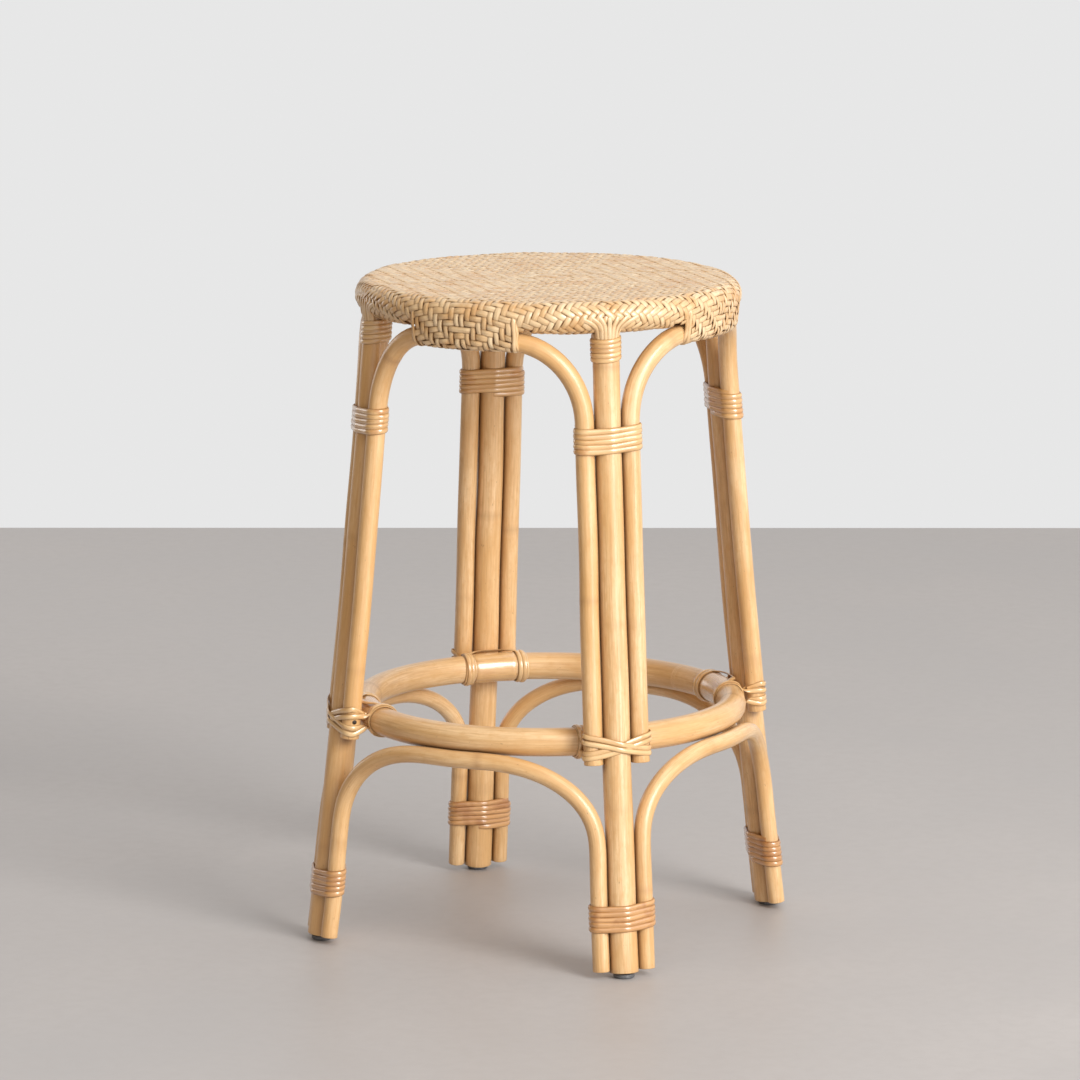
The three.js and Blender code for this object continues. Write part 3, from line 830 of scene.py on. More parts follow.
def add_binding(shape, rng, circles, span, turns, tone=None):
    """Peel wound turn on turn round a bundle, its two ends tucked under."""
    outline, facing = taut_outline(circles, PEEL_SPACING)
    n = len(outline)
    middle = (span[0] + span[1]) / 2
    pitch = (span[1] - span[0]) / turns
    steps = int(n * (turns + 0.25))
    index = np.arange(steps)
    turn = index / n
    around = (index + n // 2) % n
    stray = wander(rng, 60, 160)(index * PEEL_SPACING) * TURN_STRAY
    # each turn stays level for its first third, then rises to the next
    level = np.floor(turn) + smoothstep(((turn % 1.0) - LEVEL_SHARE) / (1 - LEVEL_SHARE))
    z = span[0] + pitch * (0.5 + level * (turns - 1.0) / turns * 1.02) + stray
    z = np.clip(z, span[0] + 0.45 * pitch, span[1] - 0.45 * pitch)
    reach = leg_radius(z) - leg_radius(middle)
    path = np.column_stack([outline[around, 0] + reach, outline[around, 1], z])
    normals = np.column_stack([facing[around], np.zeros(steps)])
    tuck = smoothstep(np.minimum(index, steps - 1 - index) / TUCK_STEPS)
    lift = 0.25 + 0.18 * wander(rng, 40, 120)(index * PEEL_SPACING) - TUCK_DEPTH * (1 - tuck)
    lift = np.maximum(lift, -TUCK_DEPTH)
    add_peel(shape, rng, path, normals, pitch, PEEL_THICKNESS, lift=lift, tone=tone)


# painted shade: the upper bundle wraps of the back legs lie in the seat's shadow and are toned
# darker
DARKER_WRAPS = {("leg_wrap", "back_left"), ("leg_wrap", "back_right")}
WRAPS = (
    ("post_top_wrap", TOP_BIND, None, PEEL_WRAP, "peel_wrap"),
    ("leg_wrap", BUNDLE_BIND, UPPER_ARCH, PEEL_WRAP, "peel_wrap"),
    ("foot_wrap", FOOT_BIND, LOWER_ARCH, DARK_PEEL_WRAP, "dark_peel_wrap"),
)


def make_bindings():
    for name, angle in LEG_ANGLES.items():
        for kind, span, arch, material, slot in WRAPS:
            middle = (span[0] + span[1]) / 2
            circles = [(leg_radius(middle), 0.0, post_radius(middle))]
            if arch:
                circles = bundle_circles(middle, arch["pole_radius"])
            circles = [(x, y, r + PEEL_SLACK) for x, y, r in circles]
            shape = Shape()
            # back-leg wraps get the darker tone: painted shade from the seat above
            tone = 0.9 if (kind, name) in DARKER_WRAPS else None
            add_binding(shape, seeded(kind, name), circles, span, PEEL_TURNS, tone)
            shape.turn(angle)
            shape.build(f"peel_{kind}_{name}", [material], slot, [f"{kind}_{name}"])


# ---- ring lashings ----

BAND_OFFSETS = (25.8, 30.0)
LASHING_WIDTH = 5.6
LASHING_THICKNESS = 1.6
# heights above the ring: right high, right low, left high, left low, for each figure of eight
LASHING_PASSES = ((11.0, -3.5, 11.5, -4.5), (5.0, -8.0, 5.5, -9.0))
LOOSER_LASHING = {"front_left": 1.32, "back_left": 1.15}
CROSSING_HALF_WIDTH = 24.0
CROSSING_LIFT = 1.5
RING_TURNS_AT = (-31.6, -26.9, 26.9, 31.6)
RING_TURN_WIDTH = 4.9
BRIDGE_WIDTH = 4.8
BAND_THICKNESS = 1.5
SLEEVE_HALF_LENGTH = 22.8
SLEEVE_SIDES = 40
SLEEVE_STATIONS = 13


def ring_surface(q, turn, grow):
    """A point and normal on the foot ring, q sideways from the leg; turn 0 faces the post."""
    out = RING_RADIUS + (RING_POLE_RADIUS + grow) * np.cos(turn)
    p = np.sqrt(out**2 - q**2)
    z = RING_HEIGHT + (RING_POLE_RADIUS + grow) * np.sin(turn)
    lean = np.arcsin(q / out)
    return np.stack([p, q + 0 * p, z], axis=-1), polar(np.cos(turn), lean, np.sin(turn))


def smooth_loop(points, normals):
    """A closed Catmull-Rom curve through points, with its normals, evenly resampled."""
    count = len(points)
    at = np.arange(0, count, 0.05)
    i = at.astype(int)
    f = (at - i)[:, None]

    def spline(values):
        a, b, c, d = (values[(i + k) % count] for k in (-1, 0, 1, 2))
        return 0.5 * (
            2 * b + (c - a) * f + (2 * a - 5 * b + 4 * c - d) * f**2
            + (3 * b - a - 3 * c + d) * f**3
        )

    line, facing = (np.concatenate([v, v[:1]]) for v in (spline(points), spline(normals)))
    s = arc_lengths(line)
    even = np.linspace(0, s[-1], int(s[-1] / 1.6), endpoint=False)
    return interpolated(even, s, line), unit(interpolated(even, s, facing))


def bundle_front(high_side, from_height, to_height, grow):
    """Points across the outside of the bundle at the ring, from one flank to the other."""
    outline, facing = taut_outline(bundle_circles(RING_HEIGHT, UPPER_ARCH["pole_radius"]), 2.0)
    outward = outline[:, 0] > AXIS_AT_RING - 5.0
    order = np.argsort(outline[outward, 1])
    line, normal = outline[outward][order], facing[outward][order]
    if high_side > 0:
        line, normal = line[::-1], normal[::-1]
    pick = np.linspace(0, len(line) - 1, 9).astype(int)
    line, normal = line[pick], normal[pick]
    share = arc_lengths(line)
    share = share / share[-1]
    z = RING_HEIGHT + lerp(from_height, to_height, smoothstep(share * 0.9 + 0.05))
    points = np.column_stack([line + normal * grow, z])
    return points, np.column_stack([normal, np.zeros(len(pick))])


def lashing_strand(q, heights, grow):
    """One closed figure of eight: across the front, round the ring, and back across."""
    right_high, right_low, left_high, left_low = heights
    under = np.radians([-22, -58, -95, -130, -165, 165, 130, 95, 58, 22])
    pieces = []
    for side, start, end in ((1, left_high, right_low), (-1, right_high, left_low)):
        pieces.append(bundle_front(-side, start, end, grow))
        pieces.append(ring_surface(np.full(len(under), float(side * q)), under, grow + 0.9))
    points, normals = zip(*pieces)
    return smooth_loop(np.concatenate(points), np.concatenate(normals))


def make_lashings():
    for name, angle in LEG_ANGLES.items():
        rng = seeded("lashing", name)
        shape = Shape()
        spread = LOOSER_LASHING.get(name, 1.0)
        for k, (q, passes) in enumerate(zip(BAND_OFFSETS, LASHING_PASSES)):
            heights = [spread * height + rng.uniform(-1.2, 1.2) for height in passes]
            path, normals = lashing_strand(q, heights, 0.2 + 0.5 * k)
            sideways = np.abs(path[:, 1]) / CROSSING_HALF_WIDTH
            front = (path[:, 0] > AXIS_AT_RING) & (sideways < 1)
            falling = np.gradient(path[:, 2]) * np.gradient(path[:, 1]) < 0
            lift = np.where(front & falling, CROSSING_LIFT * (1 - smoothstep(sideways)), 0.0)
            add_peel(shape, rng, path, normals, LASHING_WIDTH, LASHING_THICKNESS, True, lift=lift)
        for q in RING_TURNS_AT:
            turn = np.linspace(0, 2 * math.pi, 60, endpoint=False)
            drift = 0.9 * np.sin(turn + rng.uniform(0, ANY_TURN))
            path, normals = ring_surface(q + drift, turn, 0.1)
            add_peel(shape, rng, path, normals, RING_TURN_WIDTH, BAND_THICKNESS, True)
        add_peel(shape, rng, *bridge_strand(), BRIDGE_WIDTH, BAND_THICKNESS, tone=-0.6)
        shape.turn(angle)
        node = f"ring_lashing_{name}"
        shape.build(f"peel_{node}", [PALE_PEEL], "pale_peel_lashing", [node])
        make_sleeve(name, angle, rng)


def bridge_strand():
    """A strand laid along the top of the ring, between it and the poles, from band to band."""
    q = np.linspace(-BAND_OFFSETS[1], BAND_OFFSETS[1], 44)
    share = smoothstep(1.5 - np.abs(q) / 20.0)
    path, normals = ring_surface(q, np.radians(92 - 36 * share), 1.0 + 3.0 * share)
    return eased(path, 12), normals


def make_sleeve(name, angle, rng):
    """The wide strip of peel that lies round the ring between the lashing's two bands."""
    shape = Shape()
    turn = np.linspace(0, 2 * math.pi, SLEEVE_SIDES, endpoint=False)
    inner = 0.5 - 0.5 * np.cos(turn)
    rows, grains = [], []
    start = rng.uniform(0, GRAIN_LENGTH)
    half = SLEEVE_HALF_LENGTH
    middle = np.linspace(-half + 0.8, half - 0.8, SLEEVE_STATIONS)
    stations = np.concatenate([[-half, -half], middle, [half, half]])
    thick = np.concatenate([[-0.4, 0.65], np.full(SLEEVE_STATIONS, 1.0), [0.65, -0.4]])
    ripple = wander(rng, 30, 70)
    for q, share in zip(stations, thick):
        grow = share * (0.1 + 1.0 * smoothstep(inner * 2.5)) + 0.08 * ripple(q + 20 * np.cos(turn))
        radius = RING_POLE_RADIUS + grow
        out = RING_RADIUS + radius * np.cos(turn)
        rows.append(polar(out, q / RING_RADIUS, RING_HEIGHT + radius * np.sin(turn)))
        grains.append(polar(RING_POLE_RADIUS, turn, start + q))
    faces = [f[::-1] for f in skin_faces(len(rows), SLEEVE_SIDES, closed_along=True)]
    shape.add(np.concatenate(rows), faces, np.concatenate(grains), rng.uniform(0, 1))
    shape.turn(angle)
    shape.build(f"peel_ring_sleeve_{name}", [PEEL_WRAP], "peel_wrap")


# ---- woven seat ----

PITCH = 6.15
SKIRT_STRANDS = 9
SKIRT_HALF_WIDTH = SKIRT_STRANDS * PITCH
WEAVE_RIM = 15.0
RIM_EDGE = HOOP_RADIUS + WEAVE_RIM * math.pi / 2
SKIRT_HALF_ANGLE = math.asin(SKIRT_HALF_WIDTH / RIM_EDGE)
SKIRT_DROP = 22.2
SKIRT_LEAN = 2.4
SKIRT_LENGTH = math.hypot(SKIRT_DROP, SKIRT_LEAN)
TUCK_RADIUS = 10.3
TUCK_TAIL = 9.0
CURL_ANGLE = math.radians(148)
CURL_NEAR_SKIRT = math.radians(50)
CURL_AT_POST = math.radians(62)
NEAR_SKIRT = 0.09
POST_HALF_ANGLE = 0.083
SKIRT_GAP = 0.004
STRAND_WIDTH = 5.95
STRAND_THICKNESS = 1.25
STRAND_LIFT = 0.62
NO_SHEET, TOP_SHEET, LEG_SHEET, FIRST_SKIRT = 0, 1, 2, 10
STRAND_SECTION = np.array([
    (-0.5, 0.06), (-0.40, 0.36), (0.0, 0.52), (0.40, 0.36), (0.5, 0.06),
    (0.42, -0.42), (-0.42, -0.42),
])
TUCK_LENGTH = SKIRT_LENGTH + math.pi * TUCK_RADIUS


def sheet_of(x, y):
    """Which sheet of the weave a plane point lies in: top, leg curl, or the skirt of a quarter."""
    reach = np.hypot(x, y)
    azimuth = np.arctan2(y, x)
    quarter = np.round(azimuth / (math.pi / 2)).astype(int) % 4
    off_side = np.abs(azimuth - np.round(azimuth / (math.pi / 2)) * (math.pi / 2))
    off_leg = math.pi / 4 - off_side
    across = np.where(quarter % 2 == 0, np.abs(y), np.abs(x))
    down = np.where(quarter % 2 == 0, np.abs(x), np.abs(y))
    in_skirt = across <= SKIRT_HALF_WIDTH
    depth = down - np.sqrt(np.maximum(RIM_EDGE**2 - across**2, 0))
    skirt = in_skirt & (depth <= TUCK_LENGTH + TUCK_TAIL)
    limit = np.where(off_side < SKIRT_HALF_ANGLE + NEAR_SKIRT, CURL_NEAR_SKIRT, CURL_ANGLE)
    limit = np.where(off_leg < POST_HALF_ANGLE, CURL_AT_POST, limit)
    leg = (off_side > SKIRT_HALF_ANGLE + SKIRT_GAP) & (reach <= RIM_EDGE + WEAVE_RIM * limit)
    leg = leg & ~in_skirt
    sheet = np.where(skirt, FIRST_SKIRT + quarter, np.where(leg, LEG_SHEET, NO_SHEET))
    return np.where(reach <= RIM_EDGE, TOP_SHEET, sheet)


def seat_swell(x, y):
    """Slight unevenness of the seat."""
    return (
        0.34 * np.sin(x / 23.0 + 1.1) * np.cos(y / 31.0 + 0.4)
        + 0.26 * np.sin((x + 0.7 * y) / 14.0 + 2.0)
        + 0.16 * np.sin((y - 0.4 * x) / 9.0)
    )


def seat_surface(x, y, sheet):
    """Point and outward normal where a plane point of the weave ends up on the seat."""
    reach = np.maximum(np.hypot(x, y), 1e-6)
    # top and leg curl: over the rim and on round the hoop, straight out from the middle
    curl = np.clip((reach - HOOP_RADIUS) / WEAVE_RIM, 0, None)
    radius = np.where(curl > 0, HOOP_RADIUS + WEAVE_RIM * np.sin(curl), reach)
    azimuth = np.arctan2(y, x)
    point = polar(radius, azimuth, RIM_HEIGHT + WEAVE_RIM * np.cos(curl))
    normal = polar(np.sin(curl), azimuth, np.cos(curl))
    # skirts: straight down from the rim, then tucked up round the arch behind
    quarter = (np.asarray(sheet) - FIRST_SKIRT) % 4
    turn = quarter * math.pi / 2
    across = -x * np.sin(turn) + y * np.cos(turn)
    down = x * np.cos(turn) + y * np.sin(turn)
    depth = down - np.sqrt(np.maximum(RIM_EDGE**2 - across**2, 1.0))
    fall = np.clip(depth, None, SKIRT_LENGTH)
    share = fall / SKIRT_LENGTH
    tuck = np.clip((depth - SKIRT_LENGTH) / TUCK_RADIUS, 0, math.pi)
    tail = np.clip(depth - TUCK_LENGTH, 0, None)
    radius = HOOP_RADIUS + WEAVE_RIM - SKIRT_LEAN * share - TUCK_RADIUS * (1 - np.cos(tuck))
    height = RIM_HEIGHT - SKIRT_DROP * share - TUCK_RADIUS * np.sin(tuck) + tail
    azimuth = turn + np.arcsin(np.clip(across / RIM_EDGE, -1, 1))
    in_skirt = (np.asarray(sheet) >= FIRST_SKIRT)[..., None]
    return (
        np.where(in_skirt, polar(radius, azimuth, height), point),
        np.where(in_skirt, polar(np.cos(tuck), azimuth, -np.sin(tuck)), normal),
    )


HALFWAY_RISE = 0.68
# how far a strand strays sideways: anywhere, more on a skirt, and more where it runs down one
STRAY, SKIRT_STRAY, DOWNWARD_STRAY = 0.36, 0.20, 0.50
NARROWER_DOWNWARD = 0.13
FLATTER_ON_TOP, FULLER_ON_SKIRT = 0.25, 0.45
# painted shade in the grooves between strands: how much softer on the top and deeper on the skirts
SOFTER_ON_TOP, DARKER_ON_SKIRT = 0.3, 0.06
STRAND_GRAIN_STEP = 37.0


def mirrored(index):
    return np.where(index < 0, -index - 1, index)


def strand_over(row, column):
    """Whether the strand along X is on top: a 2/2 twill that turns at the diagonals."""
    a, b = mirrored(row), mirrored(column)
    return ((a + b) % 4 < 2) ^ (a > b)


def weave_heights(index, samples, along_x):
    """Height of a strand at half-pitch samples: up over two strands, down under two."""
    crossing = np.arange(samples.min() // 2 - 1, samples.max() // 2 + 2)
    rows = np.full(len(crossing), index)
    over = strand_over(rows, crossing) if along_x else ~strand_over(crossing, rows)
    level = np.where(over, 1.0, -1.0)
    # sample 2m+1 is at crossing m, and sample 2m lies between crossings m-1 and m
    first = crossing[0]
    at = samples // 2 - first
    between = level[at - 1] + level[at]
    return np.where(samples % 2 == 1, level[at], HALFWAY_RISE * between)


def add_strand(shape, rng, index, samples, sheets, along_x):
    if len(samples) < 3:
        return
    along = samples * PITCH / 2
    straight = (index + 0.5) * PITCH
    reach = np.hypot(along, straight)
    low = smoothstep((reach - RIM_EDGE + 8.0) / SKIRT_LENGTH) * (sheets >= FIRST_SKIRT)
    downward = low * (np.abs(along) > abs(straight))
    on_top = 1 - smoothstep((reach - HOOP_RADIUS + 9.0) / 15.0)
    stray = STRAY + SKIRT_STRAY * low + DOWNWARD_STRAY * downward
    centre = straight + stray * wander(rng, 22, 70)(along)
    width = STRAND_WIDTH * (1 + 0.05 * rng.uniform(-1, 1) + 0.08 * wander(rng, 25, 90)(along))
    width = width * (1 - NARROWER_DOWNWARD * downward)
    level = weave_heights(index, samples, along_x)
    # painted shade where the strand dives under another: on the top most of it is taken off,
    # leaving a few random dark spots
    spots = np.clip(1.5 * wander(rng, 8, 24)(along) - 0.25, 0, 1)
    dive = np.clip(0.5 - 0.5 * level, 0, 1) * (1 - on_top * (0.85 - 0.85 * spots))
    lift = STRAND_LIFT * level * (1 - FLATTER_ON_TOP * on_top + FULLER_ON_SKIRT * low)
    lift = lift + 0.14 * wander(rng, 15, 50)(along)
    offset = STRAND_SECTION[None, :, 0] * width[:, None]
    rise = lift[:, None] + STRAND_SECTION[None, :, 1] * STRAND_THICKNESS
    u = np.broadcast_to(along[:, None], offset.shape)
    v = centre[:, None] + offset
    x, y = (u, v) if along_x else (v, u)
    sheet = np.broadcast_to(sheets[:, None], offset.shape)
    points, normals = seat_surface(x, y, sheet)
    points = points + normals * (rise + seat_swell(x, y))[..., None]
    grain = (offset + index * STRAND_GRAIN_STEP, rise, along[:, None] + rng.uniform(0, 3000))
    # painted shade: strands that curl under the rim at the legs are toned darker
    under = smoothstep((reach - RIM_EDGE + 4.0) / 22.0) * (sheets == LEG_SHEET)
    tone = rng.uniform(-1.1, 0.9) + 0.5 * wander(rng, 30, 140)(along) + 0.8 * under + 0.1 * low
    # painted shade in the grooves between strands, softer on the top and deeper on the skirts
    darkness = 1 - SOFTER_ON_TOP * on_top + DARKER_ON_SKIRT * low
    edge = np.outer(darkness, np.abs(STRAND_SECTION[:, 0]) * 2)
    shape.sweep(points, grain, tone, edge, dive, flip=along_x)


def make_weave():
    count = int((RIM_EDGE + TUCK_LENGTH + TUCK_TAIL) / PITCH) + 1
    samples = np.arange(-2 * count, 2 * count + 1)
    for along_x in (True, False):
        rng = seeded("weave", along_x)
        shape = Shape()
        for index in range(-count, count):
            along = samples * PITCH / 2
            centre = np.full(len(samples), (index + 0.5) * PITCH)
            sheets = sheet_of(along, centre) if along_x else sheet_of(centre, along)
            run = []
            for k in range(len(samples) + 1):
                sheet = sheets[k] if k < len(samples) else NO_SHEET
                last = sheets[run[-1]] if run else sheet
                joined = sheet == last or TOP_SHEET in (sheet, last)
                if run and (sheet == NO_SHEET or not joined):
                    add_strand(shape, rng, index, samples[run], sheets[run], along_x)
                    run = []
                if sheet != NO_SHEET and k < len(samples):
                    run.append(k)
        name = "woven_seat_strands_" + ("x" if along_x else "y")
        shape.build(name, [WOVEN_PEEL], "woven_peel", ["seat_weave"], sharp_degrees=70)


# how far beyond the skirt's side, how far off it, and how far turned round its edge in degrees
EDGE_STRIPS = ((2.3, 0.35, 15), (5.0, -1.3, 58))
EDGE_STRIP_WIDTH = 4.3
EDGING_START = -3.5
EDGING_STEP = 1.6
EDGING_STRAY = 0.7
EDGING_TUCK = 7.0
EDGING_TUCK_DEPTH = 1.8
RIM_CURVE = 190.0
TAIL_COUNT = 7
TAIL_SPREAD = 17.0
TAIL_WIDTH = 4.8
TAIL_HEIGHT = np.array([631.0, 628.5, 626.0, 623.5])
TAIL_CURL = np.radians([86, 96, 106, 116])
TAIL_OFF_RIM = np.array([0.2, 1.1, 1.3, 1.2])
TAIL_APART = np.array([9.6, 7.6, 5.9, 4.7])
TAIL_OFF_POST = np.array([0.9, 0.7, 0.3, -0.6])


def make_edging():
    """Strips laid down the two side edges of each skirt, turned round towards its back."""
    depth = np.arange(EDGING_START, SKIRT_LENGTH + 2.2 * TUCK_RADIUS, EDGING_STEP)
    for name, angle in SIDE_ANGLES.items():
        rng = seeded("edging", name)
        shape = Shape()
        for hand in (-1, 1):
            for beyond, lift, lean in EDGE_STRIPS:
                across = (SKIRT_HALF_WIDTH + beyond) * hand
                across = across + EDGING_STRAY * wander(rng, 14, 40)(depth)
                azimuth = np.arcsin(across / RIM_EDGE)
                on_rim = depth < 0
                rim = polar(RIM_EDGE + depth, azimuth, 0.0)
                down = np.where(on_rim, rim[:, 0], depth + np.sqrt(RIM_EDGE**2 - across**2))
                side = np.where(on_rim, rim[:, 1], across)
                points, normals = seat_surface(down, side, np.where(on_rim, TOP_SHEET, FIRST_SKIRT))
                sideways = polar(1.0, azimuth + math.pi / 2, 0.0) * hand
                turn = math.radians(lean)
                facing = unit(normals * math.cos(turn) + sideways * math.sin(turn))
                tuck = smoothstep((depth - depth[0]) / EDGING_TUCK)
                rise = lift + 0.5 - EDGING_TUCK_DEPTH * (1 - tuck)
                points = points + normals * rise[:, None]
                tone = rng.uniform(0.2, 0.9)
                add_peel(shape, rng, points, facing, EDGE_STRIP_WIDTH, STRAND_THICKNESS, tone=tone)
        shape.turn(angle)
        shape.build(f"woven_seat_edging_{name}", [WOVEN_PEEL], "woven_peel")


def make_tails():
    """Strands that come down off the rim on to each post and end under its top binding."""
    reach = WEAVE_RIM + TAIL_OFF_RIM
    size = post_radius(TAIL_HEIGHT) + TAIL_OFF_POST
    for name, angle in LEG_ANGLES.items():
        rng = seeded("tails", name)
        shape = Shape()
        for k in range(TAIL_COUNT):
            step = k - (TAIL_COUNT - 1) / 2 + rng.uniform(-0.12, 0.12)
            turn = math.radians(TAIL_SPREAD * step)
            spread = step * TAIL_APART
            out = HOOP_RADIUS + reach * np.sin(TAIL_CURL) - spread**2 / (2 * RIM_CURVE)
            upper = np.column_stack([out, spread, RIM_HEIGHT + reach * np.cos(TAIL_CURL)])
            over = np.column_stack([np.sin(TAIL_CURL), spread / RIM_CURVE, np.cos(TAIL_CURL)])
            lower = polar(size, turn, TAIL_HEIGHT)
            lower[:, 0] += leg_radius(TAIL_HEIGHT)
            down = np.tile([math.cos(turn), math.sin(turn), 0.0], (4, 1))
            points, normals = np.concatenate([upper, lower]), np.concatenate([over, down])
            s = arc_lengths(points)
            even = np.linspace(0, s[-1], 18)
            points, normals = interpolated(even, s, points), interpolated(even, s, normals)
            tone = rng.uniform(-0.8, 0.3)
            points = eased(points, 4)
            add_peel(shape, rng, points, normals, TAIL_WIDTH, STRAND_THICKNESS, tone=tone)
        shape.turn(angle)
        shape.build(f"woven_seat_tails_{name}", [WOVEN_PEEL], "woven_peel")


# ---- board, glides, screws ----


def lathe(profile, sides, centre=(0.0, 0.0, 0.0), face=None):
    """A closed turned body from (radius, height) points, first and last on the axis."""
    angle = np.linspace(0, 2 * math.pi, sides, endpoint=False)
    rows = [polar(radius, angle, height) for radius, height in profile[1:-1]]
    points = np.concatenate([*rows, [[0, 0, profile[0][1]]], [[0, 0, profile[-1][1]]]])
    faces = skin_faces(len(rows), sides)
    low, high = len(points) - 2, len(points) - 1
    last = (len(rows) - 1) * sides
    for j in range(sides):
        k = (j + 1) % sides
        faces.append([low, k, j])
        faces.append([high, last + j, last + k])
    shape = Shape()
    shape.add((face(points) if face else points) + centre, faces, points)
    return shape


def make_board():
    radius = (BOARD_HIGH[0] - BOARD_LOW[0]) / 2
    low, high = BOARD_LOW[2], BOARD_HIGH[2]
    half = ((0, 0), (radius * 0.5, 0), (radius - 1.2, 0), (radius - 0.3, 0.3), (radius, 1.2))
    profile = [(r, low + inset) for r, inset in half]
    profile += [(r, high - inset) for r, inset in reversed(half)]
    shape = lathe(profile, 96)
    shape.build("plywood_seat_board", [BOARD], "board", ["seat_board"], sharp_degrees=40)


def make_glides():
    for name in LEG_ANGLES:
        low, high = node_box(f"glide_{name}")
        centre = (low + high) / 2
        centre[2] = 0.0
        radius = (high[0] - low[0]) / 2
        top = high[2]
        profile = [
            (0, 0.7), (3.0, 0.7), (3.6, 0.05), (radius - 2.2, 0.0), (radius - 1.0, 0.25),
            (radius - 0.3, 0.9), (radius, 1.8), (radius, top - 1.2), (radius - 0.3, top - 0.35),
            (radius - 1.0, top), (0, top),
        ]
        shape = lathe(profile, 48, centre)
        node = f"glide_{name}"
        shape.build(f"foot_{node}", [GLIDE], "glide_plastic", [node], sharp_degrees=35)


NAIL_HEIGHT = 226.8
NAIL_TURN = 94.0
NAIL_PROFILE = (
    (0, -9.0), (0.5, -8.2), (0.9, -6.5), (0.9, -0.6), (2.1, -0.3), (2.3, 0.1), (1.9, 0.5),
    (0.7, 0.62), (0, 0.62),
)


def make_nails():
    """A small nail through one flank pole of each leg, just above its lower end."""
    radius = UPPER_ARCH["pole_radius"]
    centre = [leg_radius(NAIL_HEIGHT), flank_offset(NAIL_HEIGHT, radius), NAIL_HEIGHT]

    def sideways(points):
        return turned_about_z(points[:, [2, 0, 1]] + [radius, 0, 0], NAIL_TURN)

    for name, angle in LEG_ANGLES.items():
        shape = lathe(NAIL_PROFILE, 16, centre, sideways)
        shape.turn(angle)
        shape.build(f"flank_nail_{name}", [SCREW], "screw_steel")


SCREW_TIP = ((0, -40.0), (0.6, -39.0), (1.6, -36.0))
SCREW_THREAD = ((1.35, 0.0), (1.85, 0.45), (1.35, 0.9))
THREAD_PITCH = 1.25
SCREW_HEAD = (
    (1.6, -9.0), (1.7, -2.6), (3.4, -0.9), (3.6, -0.45), (3.2, -0.05), (1.2, 0.0),
    (0.9, -0.9), (0, -0.9),
)


def make_screws():
    """A screw through each post into the ring, its head just under the lashing."""
    turns = [-35.0 + k * THREAD_PITCH for k in range(20)]
    thread = [(radius, z + rise) for z in turns for radius, rise in SCREW_THREAD]
    centre = [AXIS_AT_RING + post_radius(RING_HEIGHT) - 0.7, 0, RING_HEIGHT]
    for name, angle in LEG_ANGLES.items():
        shape = lathe([*SCREW_TIP, *thread, *SCREW_HEAD], 16, centre, lambda p: p[:, [2, 0, 1]])
        shape.turn(angle)
        shape.build(f"ring_screw_body_{name}", [SCREW], "screw_steel", [f"ring_screw_{name}"])


# ---- stage, light and camera ----

VIEW_AZIMUTH = math.radians(26.86)
CAMERA_DISTANCE = 5.9126
CAMERA_HEIGHT = 1.4844
CAMERA_ROTATION = (79.54, 0.0, 26.94)
CAMERA_LENS = 199.71
FLOOR_REACH = 2.22
FLOOR_SIDES = 8


def make_floor():
    mesh = bpy.data.meshes.new("studio_floor")
    half = math.pi / FLOOR_SIDES
    angles = VIEW_AZIMUTH + math.pi / 2 + half * (2 * np.arange(FLOOR_SIDES) + 1)
    corners = polar(FLOOR_REACH / math.cos(half), angles, 0.0)
    mesh.from_pydata(corners.tolist(), [], [list(range(FLOOR_SIDES))])
    mesh.materials.append(FLOOR)
    floor = placed("studio_floor", mesh)


def stand(name, data, azimuth, distance, height, rotation):
    """Puts a lamp or camera out from the stool; azimuth 0 is in front, growing towards +X."""
    holder = placed(name, data)
    holder.location = (distance * math.sin(azimuth), -distance * math.cos(azimuth), height)
    holder.rotation_euler = rotation
    return holder


LAMP_AIM_HEIGHT = 0.35
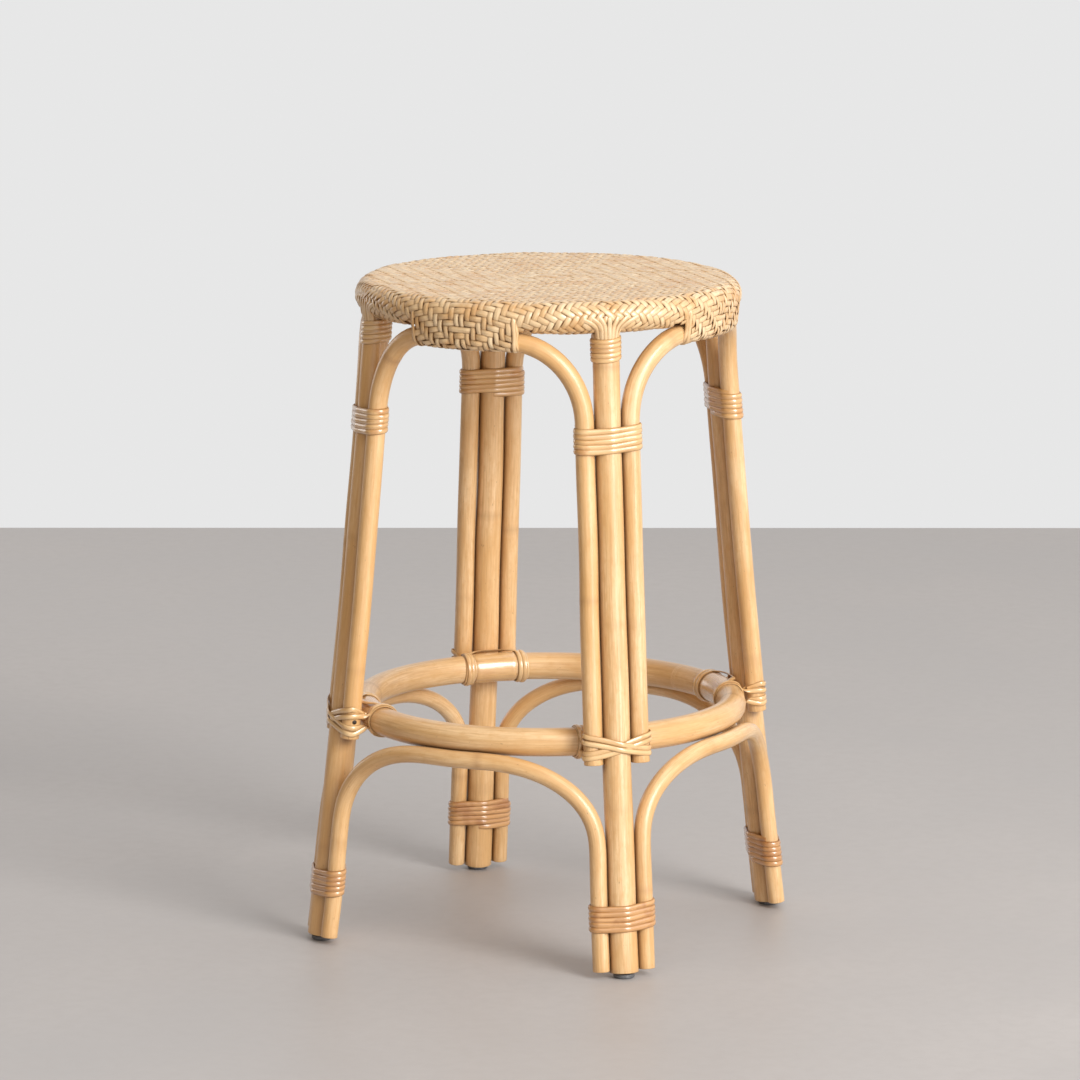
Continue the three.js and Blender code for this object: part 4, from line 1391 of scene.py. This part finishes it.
# name: azimuth, elevation, distance, diameter, watts, colour
LAMPS = {
    "key": (67, 27, 5.2, 2.6, 228, (1.0, 0.99, 0.97)),
    "low": (71, 4, 4.2, 1.6, 32, (1.0, 1.0, 1.0)),
    "top": (175, 68, 4.0, 1.6, 4, (1.0, 1.0, 1.0)),
    "rim": (-104, 9, 3.4, 1.2, 8, (1.0, 1.0, 1.0)),
}


def make_lamps():
    """Soft round lamps aimed at the stool."""
    for name, (azimuth, elevation, distance, size, watts, colour) in LAMPS.items():
        lamp = bpy.data.lights.new(name, "AREA")
        lamp.shape = "DISK"
        lamp.size = size
        lamp.energy = watts
        lamp.color = colour
        a, e = math.radians(azimuth), math.radians(elevation)
        height = LAMP_AIM_HEIGHT + distance * math.sin(e)
        stand(name, lamp, a, distance * math.cos(e), height, (math.pi / 2 - e, 0, a))


SHADED_SIDE = (-0.83, -0.56, 0.0)
OPEN_BRIGHTNESS = 0.80
SHADED_BRIGHTNESS = 0.19
SHADED_TINT = (1.0, 0.74, 0.50)
FADE_START = 0.15
FADE_END = 0.95


def make_surroundings():
    """Soft white surroundings, dimmer and warmer on the side away from the key lamp."""
    world = bpy.data.worlds.new("studio")
    bpy.context.scene.world = world
    world.use_nodes = True
    nodes = Nodes(world.node_tree)
    inputs = {0: nodes.place("Generated"), 1: SHADED_SIDE}
    towards = nodes.node("ShaderNodeVectorMath", "Value", inputs, operation="DOT_PRODUCT")

    def faded(low, high):
        return nodes.spread(towards, FADE_START, FADE_END, low, high, "SMOOTHSTEP")

    tint = nodes.mixed(faded(0.0, 1.0), (1.0, 1.0, 1.0), SHADED_TINT)
    brightness = faded(OPEN_BRIGHTNESS, SHADED_BRIGHTNESS)
    nodes.fill(world.node_tree.nodes["Background"], {"Color": tint, "Strength": brightness})


def make_studio():
    make_floor()
    make_lamps()
    make_surroundings()
    bpy.context.scene.view_settings.view_transform = "Standard"
    camera = bpy.data.cameras.new("camera")
    camera.lens = CAMERA_LENS
    camera.sensor_width = 36.0
    camera.clip_end = 60.0
    aim = [math.radians(degrees) for degrees in CAMERA_ROTATION]
    holder = stand("camera", camera, VIEW_AZIMUTH, CAMERA_DISTANCE, CAMERA_HEIGHT, aim)
    bpy.context.scene.camera = holder


make_poles()
make_bindings()
make_lashings()
make_weave()
make_edging()
make_tails()
make_board()
make_glides()
make_screws()
make_nails()
make_studio()
